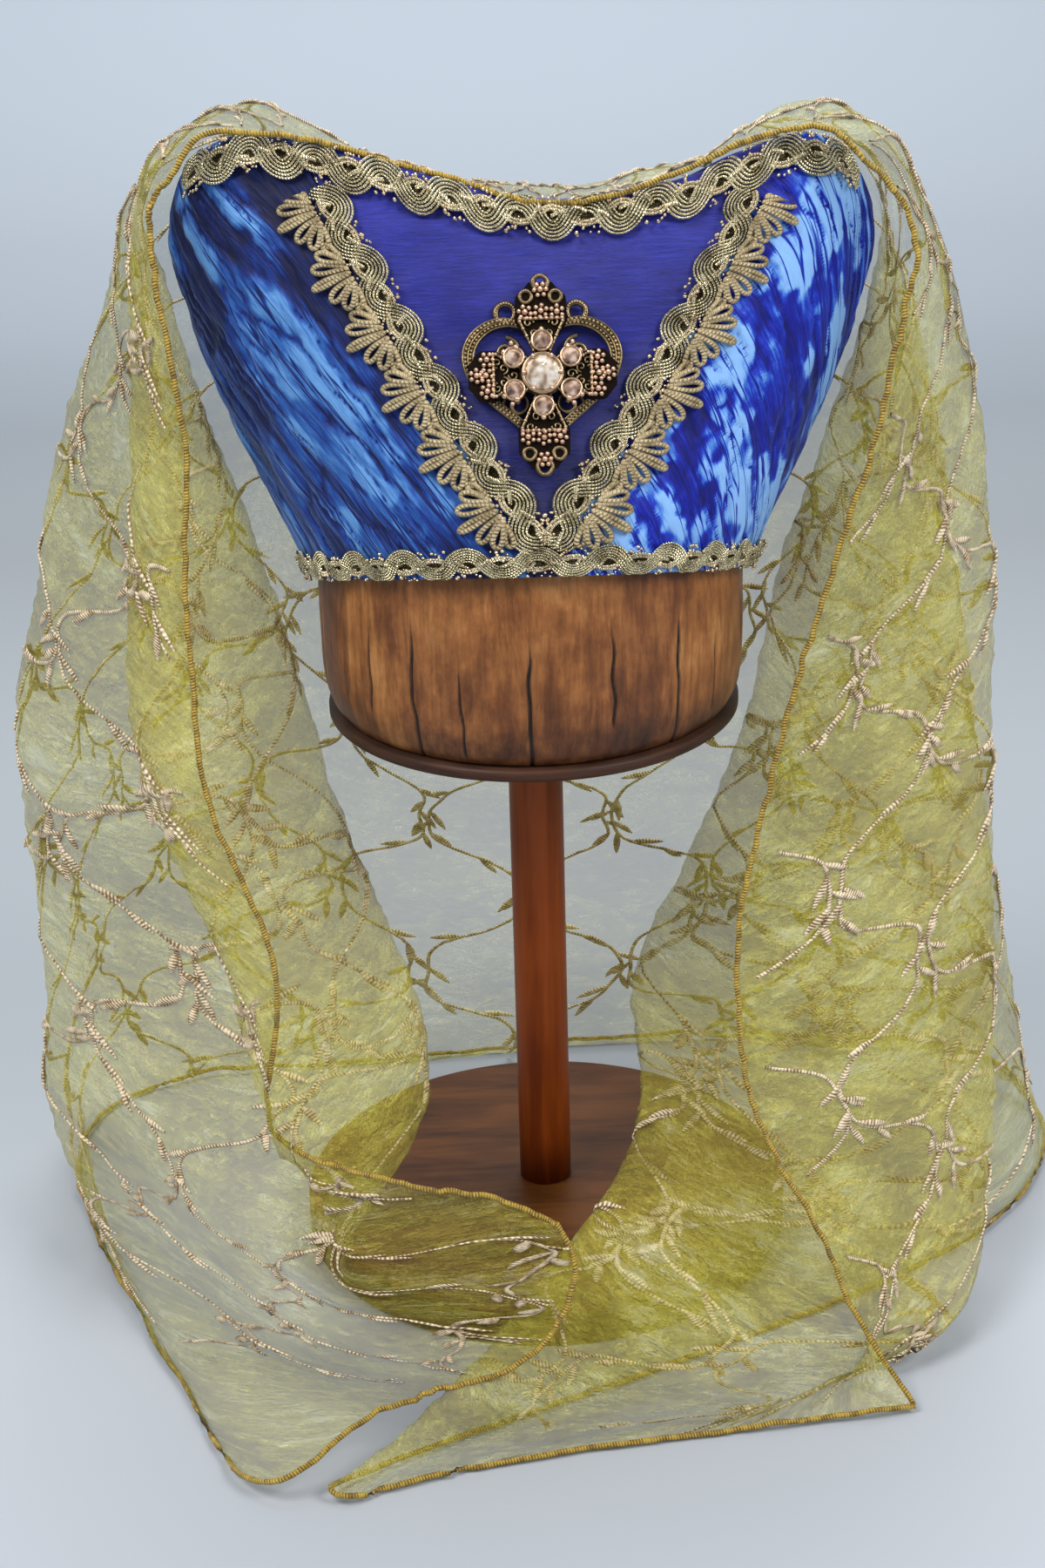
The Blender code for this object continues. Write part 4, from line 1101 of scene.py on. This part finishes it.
class HEADDRESS_OT_fringe(bpy.types.Operator):
    """Builds the looped fringe on the outer side of both V braids"""

    bl_idname = "headdress.fringe"
    bl_label = "Loop fringe"

    def execute(self, context):
        gold = finish_cord("fringe_gold", (0.27, 0.20, 0.10), (0.62, 0.50, 0.30), 0.45, 0.5, 700.0)
        for side, name in ((-1, "left"), (1, "right")):
            strip = VStrip(side)
            made = joined([placed(strip, self.loops(strip, context.scene.headdress_crown))])
            make_piece(
                "looped_fringe_" + name, made, gold, "fringe_gold", "loop_fringe_" + name
            )
        return {"FINISHED"}

    def loops(self, strip, settings):
        """Fans of loops: each loop goes out along its own slant and comes back."""
        period = settings.braid_period
        start = settings.braid_width * 0.36
        count, steps = int((strip.length - FRINGE_FOOT) / period + 0.6), 30
        each = len(FRINGE_FAN)
        slants, lengths, widths = np.array(FRINGE_FAN).T
        t = 2 * np.pi * np.arange(steps) / steps
        fan, loop, turn = np.meshgrid(np.arange(count), np.arange(each), t, indexing="ij")
        share = (1 - np.cos(turn)) / 2
        out = settings.fringe_length * lengths[loop] * share
        aside = widths[loop] * np.sin(turn) * (0.35 + 1.3 * share)
        slant = np.radians(slants)[loop]
        foot = FRINGE_FOOT + (fan + 0.42) * period + (loop - each // 2) * FRINGE_STEP
        along = foot + out * np.sin(slant) + aside * np.cos(slant)
        across = start + out * np.cos(slant) - aside * np.sin(slant)
        up = 0.0011 + 0.0012 * (1 - share) + 0.0007 * np.sin(np.pi * share) + 0.0004 * (loop % 2)
        paths = xyz(along, across, up).reshape(-1, steps, 3)
        return cord_mesh(paths, FRINGE_RADIUS, flat=0.7, closed=True)


# Brooch

def spiral_paths(centres, radius, turns, start, hand, steps=24, height=0.0):
    """Scrolls that wind inward: the reach shrinks evenly as the angle grows."""
    w = np.linspace(0, 1, steps)
    angle = np.asarray(start)[..., None] + np.asarray(hand)[..., None] * 2 * np.pi * turns * w
    reach = radius * (1 - 0.78 * w)
    x, y = centres[:, :1], centres[:, 1:2]
    return xyz(x + reach * np.cos(angle), y + reach * np.sin(angle), height)


def heart_line(scale, count):
    """The classic heart curve with its points evenly spread along it."""
    t = np.linspace(0, 2 * np.pi, 2000)
    x = 16 * np.sin(t) ** 3
    y = 13 * np.cos(t) - 5 * np.cos(2 * t) - 2 * np.cos(3 * t) - np.cos(4 * t)
    line = xyz(x, y) * (HEART_WIDTH * scale) / 32
    length = running_length(line)
    return read_line(line, length, np.linspace(0, length[-1], count, endpoint=False))


def wired(path, radius, tone, closed=False, sides=6):
    """Round wire along one path or several."""
    paths = path if path.ndim > 2 else path[None]
    return (*cord_mesh(paths, radius, sides=sides, closed=closed), tone)


def grained(centres, radius, tone):
    return (*bead_mesh(np.atleast_2d(centres), radius), tone)


def turned_part(profile, count, tone, centre=(0, 0, 0)):
    faces = grid_faces(len(profile), count, True, True)
    return turned_grid(profile, count) + centre, faces, None, tone


def beaded_ring(x, y, radius, wire):
    """A small loop of flat wire with a row of grains on it."""
    ring = circle(radius, 22, 0.0001) + (x, y, 0)
    made = cord_mesh(ring[None], wire, flat=0.6, closed=True)
    return [(*made, -0.1), grained(ring + (0, 0, wire * 0.55), wire * 0.48, 0.5)]


def cut_stone(radius, height, middle, sides):
    """A round cut stone: rings of points, each ring turned half a facet from the last."""
    rings = ((0.0, 1.0), (0.30, 0.97), (0.72, 0.62), (1.0, 0.18), (0.96, -0.1), (0.0, -0.15))
    rows = [circle(radius * share, sides, height * level, np.pi * (number % 2) / sides)
            for number, (share, level) in enumerate(rings)]
    return np.stack(rows) + middle, grid_faces(len(rings), sides, True, True), None, 0.0


class HEADDRESS_OT_brooch(bpy.types.Operator):
    """Builds the heart-shaped filigree plate, the cross over it and the cut stones"""

    bl_idname = "headdress.brooch"
    bl_label = "Brooch"

    def execute(self, context):
        brass = finish_brass()
        pale = finish_stone(
            "champagne_stone", (0.34, 0.22, 0.14), (0.80, 0.64, 0.48), (1.0, 0.93, 0.84)
        )
        rosy = finish_stone(
            "rosy_stone", (0.09, 0.040, 0.025), (0.42, 0.25, 0.17), (0.85, 0.64, 0.50)
        )
        self.place("filigree_heart", self.heart_parts(), HEART_LIFT, brass, "brass",
                   "brooch_heart_plate")
        self.place("filigree_cross", self.cross_parts(), CROSS_LIFT, brass, "brass",
                   "brooch_cross")
        centre = self.place("cut_stone", [cut_stone(0.0062, 0.0046, np.zeros(3), 16)],
                            STONE_LIFT, pale, "stone", "brooch_centre_stone")
        middles = circle(STONE_CIRCLE, 6, start=np.pi / 6)
        small = self.place("small_cut_stones",
                           [cut_stone(0.0031, 0.0024, middle, 10) for middle in middles],
                           STONE_LIFT, rosy, "stone", *(f"brooch_stone_{k}" for k in range(1, 7)))
        for piece in (centre, small):
            piece.data.shade_flat()
        return {"FINISHED"}

    def place(self, name, parts, lift, finish, slot, *nodes):
        """Parts in the brooch's own frame, set on the crown's front and leaning with it."""
        points, *rest = joined(parts)
        share = np.array(BROOCH_SHARE)
        origin = crown(front_angle(np.array(BROOCH_X), share), share)
        lean = math.radians(BROOCH_LEAN)
        right = np.array([1.0, 0, 0])
        up = np.array([0, math.cos(lean), math.sin(lean)])
        out = np.array([0, -math.sin(lean), math.cos(lean)])
        world = origin + points[:, :1] * right + points[:, 1:2] * up
        world = world + (points[:, 2:] + lift) * out
        return make_piece(name, (world, *rest), finish, slot, *nodes)

    def heart_parts(self):
        """A band between two heart lines, edged with wire and grains, with inward scrolls."""
        count = 150
        profile = ((1.0, -0.0007), (1.0, 0.0005), (0.985, 0.0009), (0.925, 0.0003),
                   (0.865, 0.0009), (0.85, 0.0005), (0.85, -0.0007), (1.0, -0.0007))
        band = np.stack([heart_line(1.0, count) * scale + (0, 0, z) for scale, z in profile])
        parts = [(band, grid_faces(len(profile), count, wrap=True, flip=True), None, -0.2)]
        for scale, grain in ((0.958, 0.00072), (0.895, 0.00060)):
            parts.append(grained(heart_line(scale, 112) + (0, 0, 0.0009), grain, 0.35))
        for scale in (0.99, 0.925, 0.86):
            edge = heart_line(scale, count) + (0, 0, 0.0008)
            parts.append(wired(edge, 0.00040, 0.0, closed=True))
        for side in (-1, 1):
            centres = np.array([[0.0125, 0.0090], [0.0172, -0.0005], [0.0090, -0.0100]])
            start = np.radians([90, 60, 0]) if side > 0 else np.radians([90, 120, 180])
            hands = np.full(3, float(side))
            paths = spiral_paths(centres * (side, 1), 0.0052, 1.3, start, hands, height=0.0002)
            parts.append(wired(paths, 0.00085, 0.0))
            parts.append(grained(paths[:, -1] + (0, 0, 0.0004), 0.0011, 0.3))
            parts += beaded_ring(side * 0.0125, 0.0228, 0.0034, 0.0012)
        stem = xyz(0.0, np.linspace(-0.0245, 0.008, 8))
        parts.append(wired(stem, 0.0016, -0.4, sides=8))
        return parts

    def cross_parts(self):
        """Four flared arms: a framed triangle of scrolls, then a three-lobed heap of grains."""
        parts = []
        for arm in range(4):
            turn = math.pi / 2 * arm
            spin = np.array([[math.cos(turn), -math.sin(turn)], [math.sin(turn), math.cos(turn)]])
            for points, *rest in self.arm_parts(arm % 2 == 1):
                points = points.copy()
                points[..., :2] = points[..., :2] @ spin.T
                parts.append((points, *rest))
            toward = np.array([math.cos(math.pi / 4 + turn), math.sin(math.pi / 4 + turn), 0.0])
            for distance, size in ((0.0128, 0.0013), (0.0152, 0.0010)):
                parts.append(grained(distance * toward + (0, 0, 0.0026), size, 0.9))
            ray = np.linspace(0.005, 0.0150, 6)[:, None] * toward + (0, 0, 0.0020)
            parts.append(wired(ray, 0.0005, 0.3))
        return parts + self.setting_parts()

    def arm_parts(self, upright):
        """One arm along +X in the brooch's frame. The upright arms are longer, with loops."""
        reach = 0.033 if upright else 0.026
        neck, shoulder = 0.0075, reach * (0.60 if upright else 0.66)
        narrow, lobe = 0.0024, 0.0056
        w, v = np.linspace(0, 1, 16)[:, None], np.linspace(-1, 1, 9)[None]
        x = neck + (reach - neck) * w
        half = 0.0026 + 0.0064 * ease(x, neck, shoulder)
        half = half - 0.0050 * ease(x, reach * 0.82, reach * 1.02)
        sheet = xyz(x, half * v, -0.0004)
        flat = grid_faces(16, 9, flip=True)
        parts = [(sheet, flat, None, -1.0), (sheet - (0, 0, 0.0006), flat[:, ::-1], None, -1.0)]
        outline = xyz(
            np.array([neck, shoulder, shoulder, neck, neck]),
            np.array([-narrow, -0.0080, 0.0080, narrow, -narrow]), 0.0007,
        )
        line = read_line(outline, np.arange(5), np.linspace(0, 4, 41))
        parts.append(wired(line, 0.00052, 0.25))
        middle = (neck + shoulder) / 2
        centres = np.array([[middle + 0.0012, -0.0024], [middle + 0.0012, 0.0024],
                            [shoulder - 0.0014, -0.0045], [shoulder - 0.0014, 0.0045],
                            [middle - 0.0022, 0.0]])
        hands = np.array([1, -1, -1, 1, 1], float)
        start = np.radians([90, -90, 90, -90, 0])
        scrolls = spiral_paths(centres, 0.0019, 1.1, start, hands, 16, 0.0004)
        parts.append(wired(scrolls, 0.0004, 0.15))
        heads = ((shoulder + 0.0022, -lobe), (shoulder + 0.0022, lobe), (reach - 0.0030, 0.0),
                 (shoulder + 0.0026, 0.0))
        for number, (x, y) in enumerate(heads):
            petals = circle(0.0021, 6, 0.0008, 0.3 * number) + (x, y, 0)
            parts.append(grained(petals, 0.00092, 0.9))
            parts.append(grained(np.array([x, y, 0.0014]), 0.0011, 1.0))
        row = np.linspace(-0.0074, 0.0074, 9)
        parts.append(grained(xyz(shoulder, row, 0.0010), 0.00080, 0.8))
        along = np.linspace(neck + 0.001, shoulder - 0.001, 5)
        for side in (-1, 1):
            y = side * (narrow + lobe * (along - neck) / (shoulder - neck))
            parts.append(grained(xyz(along, y, 0.0010), 0.00072, 0.8))
            if upright:
                parts += beaded_ring(reach - 0.0052, side * 0.0052, 0.0021, 0.0008)
        if upright:
            parts += beaded_ring(reach - 0.0004, 0.0, 0.0026, 0.0009)
        return parts

    def setting_parts(self):
        """The raised middle: a boss, two rings, claws and six small cups."""
        boss = ((0.0, 0.0019), (0.0072, 0.0019), (0.0080, 0.0013), (0.0080, -0.0010),
                (0.0, -0.0010))
        cup = ((0.0, 0.0019), (0.0030, 0.0019), (0.0037, 0.0012), (0.0037, -0.0003))
        parts = [turned_part(boss, 40, -0.5)]
        parts.append(wired(circle(0.0068, 40, 0.0030), 0.0007, 0.6, closed=True, sides=8))
        parts.append(grained(circle(0.0066, 6, 0.0042), 0.0009, 1.0))
        for centre in circle(STONE_CIRCLE, 6, start=np.pi / 6):
            parts.append(turned_part(cup, 20, -0.4, centre))
            parts.append(wired(circle(0.0035, 16, 0.0028) + centre, 0.0005, 0.7, closed=True))
            bead = centre * 0.0155 / STONE_CIRCLE + (0, 0, 0.0022)
            parts.append(grained(bead, 0.0011, 0.9))
        return parts


# Veil

class Veil:
    """The draped cloth as a dense grid, with cloth coordinates for what is sewn on it."""

    def __init__(self, crinkle, rows=VEIL_ROWS, columns=VEIL_COUNT):
        folds = np.array(list(VEIL_FOLDS.values())).transpose(1, 0, 2) / 1000
        levels, lines = folds.shape[:2]
        down = np.linspace(0, levels - 1, rows)
        keys = np.linspace(0, lines - 1, 2000)
        length = running_length(spline(spline(folds, np.array([VEIL_MIDDLE_LEVEL]))[0], keys))
        self.width = length[-1]
        places = np.interp(np.linspace(0, self.width, columns), length, keys)
        grid = spline(spline(folds, down).transpose(1, 0, 2), places).transpose(1, 0, 2)
        self.a = np.broadcast_to(np.linspace(0, self.width, columns), (rows, columns))
        steps = np.linalg.norm(np.diff(grid, axis=0), axis=-1)
        self.b = np.vstack([np.zeros((1, columns)), np.cumsum(steps, axis=0)])
        level = np.broadcast_to(down[:, None], (rows, columns))
        self.grid = self.crinkled(grid, level, crinkle)
        self.normals = grid_normals(self.grid)

    def crinkled(self, grid, level, depth):
        """Adds soft swells, broken creases and fine crinkle along the cloth's normals."""
        a, b = self.a, self.b
        swell = 0.0045 * cloud(a, b * 0.45, 0.050, 101) + 0.0022 * cloud(a, b * 0.6, 0.022, 102)
        crease = -depth * np.abs(cloud(a + b * 0.6, b - a * 0.5, 0.012, 103))
        crease += -0.7 * depth * np.abs(cloud(a - b * 0.8, b + a * 0.7, 0.007, 104))
        crease += 0.35 * depth * cloud(a, b, 0.0042, 105)
        free = ease(level, 2.0, 3.2)
        lift = swell * free + (crease + 0.6 * depth) * (0.25 + 0.75 * free)
        outside = grid + grid_normals(grid) * lift[..., None]
        front = 1 - ease(level, 0.0, 0.9)
        outside += front[..., None] * np.array([0.0, -0.0035, -0.0028])
        floor = FLOOR_ROOM + 0.0006 * (1 + cloud(a, b, 0.01, 106))
        outside[..., 2] = np.maximum(outside[..., 2], floor)
        return outside

    def place(self, points):
        """Cloth coordinates (a, b, height) to places: b is read down each column's length."""
        a = np.clip(points[..., 0], 0, self.width * 0.99999) / self.width * (self.a.shape[1] - 1)
        a = a.ravel()
        column = np.floor(a).astype(int)
        part, down = a - column, points[..., 1].ravel()
        rows = np.arange(self.b.shape[0])
        near, far = np.empty(down.shape), np.empty(down.shape)
        for number in np.unique(column):
            chosen = column == number
            near[chosen] = np.interp(down[chosen], self.b[:, number], rows)
            far[chosen] = np.interp(down[chosen], self.b[:, number + 1], rows)
        row = np.clip(near * (1 - part) + far * part, 0, len(rows) - 1.001)
        low = np.floor(row).astype(int)
        share, part = (row - low)[:, None], part[:, None]
        place = self.read(self.grid, low, column, share, part)
        normal = unit(self.read(self.normals, low, column, share, part))
        return (place + normal * points[..., 2].reshape(-1, 1)).reshape(points.shape)

    def read(self, values, row, column, share, part):
        top = values[row, column] * (1 - part) + values[row, column + 1] * part
        foot = values[row + 1, column] * (1 - part) + values[row + 1, column + 1] * part
        return top * (1 - share) + foot * share

    def inside(self, points):
        """Whether points keep clear of the cloth's sides and of its lower edge."""
        depth = np.interp(points[..., 0], self.a[0], self.b[-1])
        kept = (points[..., 0] > SEWN_ROOM) & (points[..., 0] < self.width - SEWN_ROOM)
        return kept & (points[..., 1] < depth - SEWN_ROOM)


class HEADDRESS_OT_veil(bpy.types.Operator):
    """Builds the sheer veil, its overlocked edge and its embroidered vine lattice"""

    bl_idname = "headdress.veil"
    bl_label = "Veil"

    def execute(self, context):
        settings = context.scene.headdress_veil
        veil = Veil(settings.crinkle)
        made = (veil.grid, grid_faces(*veil.a.shape), grid_uv(veil.a, veil.b), {})
        cloth = make_piece("organza_veil", made, finish_organza(), "veil_organza", "veil")
        edge = self.build_edge(veil)
        vines, leaves = self.build_vines(veil, settings)
        return {"FINISHED"}

    def build_edge(self, veil):
        """A round overlocked cord along all four edges of the cloth."""
        path, normal = (
            np.vstack([grid[0, :], grid[1:, -1], grid[-1, -2::-1], grid[-2:0:-1, 0]])
            for grid in (veil.grid, veil.normals)
        )
        path[:, 2] = np.maximum(path[:, 2], 0.0016)
        place, zero = np.arange(len(path)) * 1.0, np.zeros(len(path))
        wobble = np.stack([cloud(place, zero, 3.0, seed) for seed in (111, 112, 113)], -1)
        path = path + 0.0003 * wobble
        made = cord_mesh(path[None], 0.0011, normal[None], closed=True)
        thread = finish_thread("edge_thread", (0.18, 0.10, 0.010), (0.56, 0.37, 0.045), 0.5)
        return make_piece("overlocked_edge", (*made, {}), thread, "veil_organza")

    def stem_paths(self, veil, width, height):
        """Lattice stems: neighbouring sine lines that touch once each half wave."""
        spacing = width / 2
        steps = np.arange(0.012, 0.66, 0.0020)
        for k in range(int(round(veil.width / spacing)) + 1):
            hand = 1 if k % 2 == 0 else -1
            swing = hand * spacing / 2 * 0.97 * np.tanh(1.7 * np.cos(2 * np.pi * steps / height))
            wander = 0.0028 * cloud(steps, np.full_like(steps, k * 3.1), 0.012, 121)
            yield xyz(k * spacing + swing + wander, steps, 0.0006)

    def build_vines(self, veil, settings):
        """Stems where they lie clear of the edges, each with its leaves."""
        width, height = settings.cell_width, settings.cell_height
        thread = finish_thread("vine_thread", (0.28, 0.165, 0.065), (1.0, 0.82, 0.56), 0.35)
        stem_parts, leaf_parts = [], []
        rng = np.random.default_rng(17)
        for path in self.stem_paths(veil, width, height):
            turns = np.flatnonzero(np.diff(veil.inside(path).astype(int))) + 1
            for run in np.split(path, turns):
                if len(run) >= 12 and veil.inside(run[len(run) // 2]):
                    stem_parts.append(placed(veil, cord_mesh(run[None], 0.00070, UP, 5, 0.7)))
                    leaf_parts.append(placed(veil, self.leaves(run, height, rng)))
        return [make_piece(name, joined(parts), thread, "veil_organza")
                for name, parts in (("vine_stems", stem_parts), ("vine_leaves", leaf_parts))]

    def leaves(self, run, height, rng):
        """Small pointed leaves, thickest near the places where stems meet."""
        places = np.arange(2, len(run) - 3, 3)
        near = np.abs(np.sin(2 * np.pi * run[places, 1] / height))
        kept = rng.uniform(0, 1, len(places)) > 0.45 * near
        kept[len(kept) // 2] = True
        places, near = places[kept], near[kept]
        ahead = unit(run[np.minimum(places + 1, len(run) - 1)] - run[places - 1])
        hand = np.where(np.arange(len(places)) % 2 == 0, 1.0, -1.0)
        slant = np.radians(rng.uniform(12, 26, len(places)) + 30 * (1 - near)) * hand
        cosine, sine = np.cos(slant), np.sin(slant)
        away = xyz(ahead[:, 0] * cosine - ahead[:, 1] * sine,
                   ahead[:, 0] * sine + ahead[:, 1] * cosine)
        length = rng.uniform(0.0085, 0.0125, len(places))
        w = np.linspace(0, 1, 6)
        paths = run[places][:, None] + away[:, None] * (length[:, None] * w)[..., None]
        paths[..., 2] = 0.0009 + 0.0004 * np.sin(np.pi * w)
        radius = 0.0014 * np.sin(np.pi * np.clip(w, 0.04, 0.97)) ** 0.7
        return cord_mesh(paths, radius, UP, 5, 0.45)


# Stage

CAMERA_PLACE = (-0.0055, -0.842, 0.526)
CAMERA_PITCH, CAMERA_ROLL = 21.0, -1.6
STAND_MIDDLE, WALL_MIDDLE = (0, 0, 0.25), (0, 3.0, 1.0)
LIGHTS = (
    ("window_light", (-1.1, -0.9, 2.0), STAND_MIDDLE, 1.2, 36.0, (1.0, 0.98, 0.94)),
    ("right_light", (1.4, -1.0, 1.6), STAND_MIDDLE, 1.0, 28.0, (1.0, 0.98, 0.95)),
    ("back_light", (0.2, 1.3, 1.9), STAND_MIDDLE, 1.2, 20.0, (0.96, 0.98, 1.0)),
    ("wall_light", (0.0, 1.3, 3.2), WALL_MIDDLE, 2.0, 60.0, (0.95, 0.98, 1.0)),
)


class HEADDRESS_OT_stage(bpy.types.Operator):
    """Builds the paper sweep, the soft lights and the camera"""

    bl_idname = "headdress.stage"
    bl_label = "Stage"

    def execute(self, context):
        scene = context.scene
        self.build_camera(scene)
        self.build_sweep()
        self.build_lights(scene)
        scene.view_settings.view_transform = "Standard"
        scene.view_settings.look = "None"
        return {"FINISHED"}

    def build_camera(self, scene):
        """The camera looks along +Y, pitched down and rolled a little."""
        pitch, roll = math.radians(CAMERA_PITCH), math.radians(CAMERA_ROLL)
        ahead = Vector((0, math.cos(pitch), -math.sin(pitch)))
        right = Vector((1, 0, 0))
        up = right.cross(ahead)
        turned_right = math.cos(roll) * right + math.sin(roll) * up
        turned_up = -math.sin(roll) * right + math.cos(roll) * up
        data = bpy.data.cameras.new("studio_camera")
        data.lens = 50
        data.sensor_width = 36
        camera = bpy.data.objects.new("studio_camera", data)
        axes = Matrix((turned_right, turned_up, -ahead)).transposed()
        camera.matrix_world = Matrix.Translation(CAMERA_PLACE) @ axes.to_4x4()
        scene.collection.objects.link(camera)
        scene.camera = camera

    def build_sweep(self):
        """Floor and wall in one sheet, joined by a quarter circle."""
        reach, bend, height = 3.0, 0.8, 3.0
        angles = np.linspace(0, np.pi / 2, 16)
        y = np.concatenate([[-reach], reach - bend + bend * np.sin(angles), [reach]])
        z = np.concatenate([[0.0], bend - bend * np.cos(angles), [height]])
        points = xyz(np.linspace(-4, 4, 9), y[:, None], z[:, None])
        add_mesh("paper_sweep", points, grid_faces(len(y), 9), finish_backdrop())

    def build_lights(self, scene):
        world = bpy.data.worlds.new("studio_air")
        world.use_nodes = True
        air = world.node_tree.nodes["Background"].inputs
        air["Color"].default_value = (0.74, 0.83, 0.92, 1)
        air["Strength"].default_value = 0.45
        scene.world = world
        for name, place, target, size, power, color in LIGHTS:
            data = bpy.data.lights.new(name, "AREA")
            data.shape = "DISK"
            data.size = size
            data.energy = power
            data.color = color
            light = bpy.data.objects.new(name, data)
            aim = Vector(target) - Vector(place)
            turn = aim.to_track_quat("-Z", "Y").to_matrix().to_4x4()
            light.matrix_world = Matrix.Translation(place) @ turn
            scene.collection.objects.link(light)


class HEADDRESS_PT_panel(bpy.types.Panel):
    """Lists the headdress's settings and its builders"""

    bl_idname = "HEADDRESS_PT_panel"
    bl_label = "Horned Headdress"
    bl_space_type = "VIEW_3D"
    bl_region_type = "UI"
    bl_category = "Headdress"

    def draw(self, context):
        for label in SETTINGS:
            settings = getattr(context.scene, "headdress_" + label)
            for prop in settings.bl_rna.properties:
                if prop.identifier not in ("rna_type", "name"):
                    self.layout.prop(settings, prop.identifier)
        for operator in OPERATORS:
            self.layout.operator(operator.bl_idname)


OPERATORS = (
    HEADDRESS_OT_stage,
    HEADDRESS_OT_stand,
    HEADDRESS_OT_velvet,
    HEADDRESS_OT_silk,
    HEADDRESS_OT_braids,
    HEADDRESS_OT_fringe,
    HEADDRESS_OT_brooch,
    HEADDRESS_OT_veil,
)
SETTINGS = {"stand": StandSettings, "crown": CrownSettings, "veil": VeilSettings}


def register():
    for made in (*SETTINGS.values(), *OPERATORS, HEADDRESS_PT_panel):
        bpy.utils.register_class(made)
    for label, made in SETTINGS.items():
        setattr(bpy.types.Scene, "headdress_" + label, bpy.props.PointerProperty(type=made))


def unregister():
    for label in SETTINGS:
        delattr(bpy.types.Scene, "headdress_" + label)
    for made in (HEADDRESS_PT_panel, *OPERATORS, *SETTINGS.values()):
        bpy.utils.unregister_class(made)


def main():
    register()
    for operator in OPERATORS:
        group, action = operator.bl_idname.split(".")
        getattr(getattr(bpy.ops, group), action)()


if __name__ == "__main__":
    main()
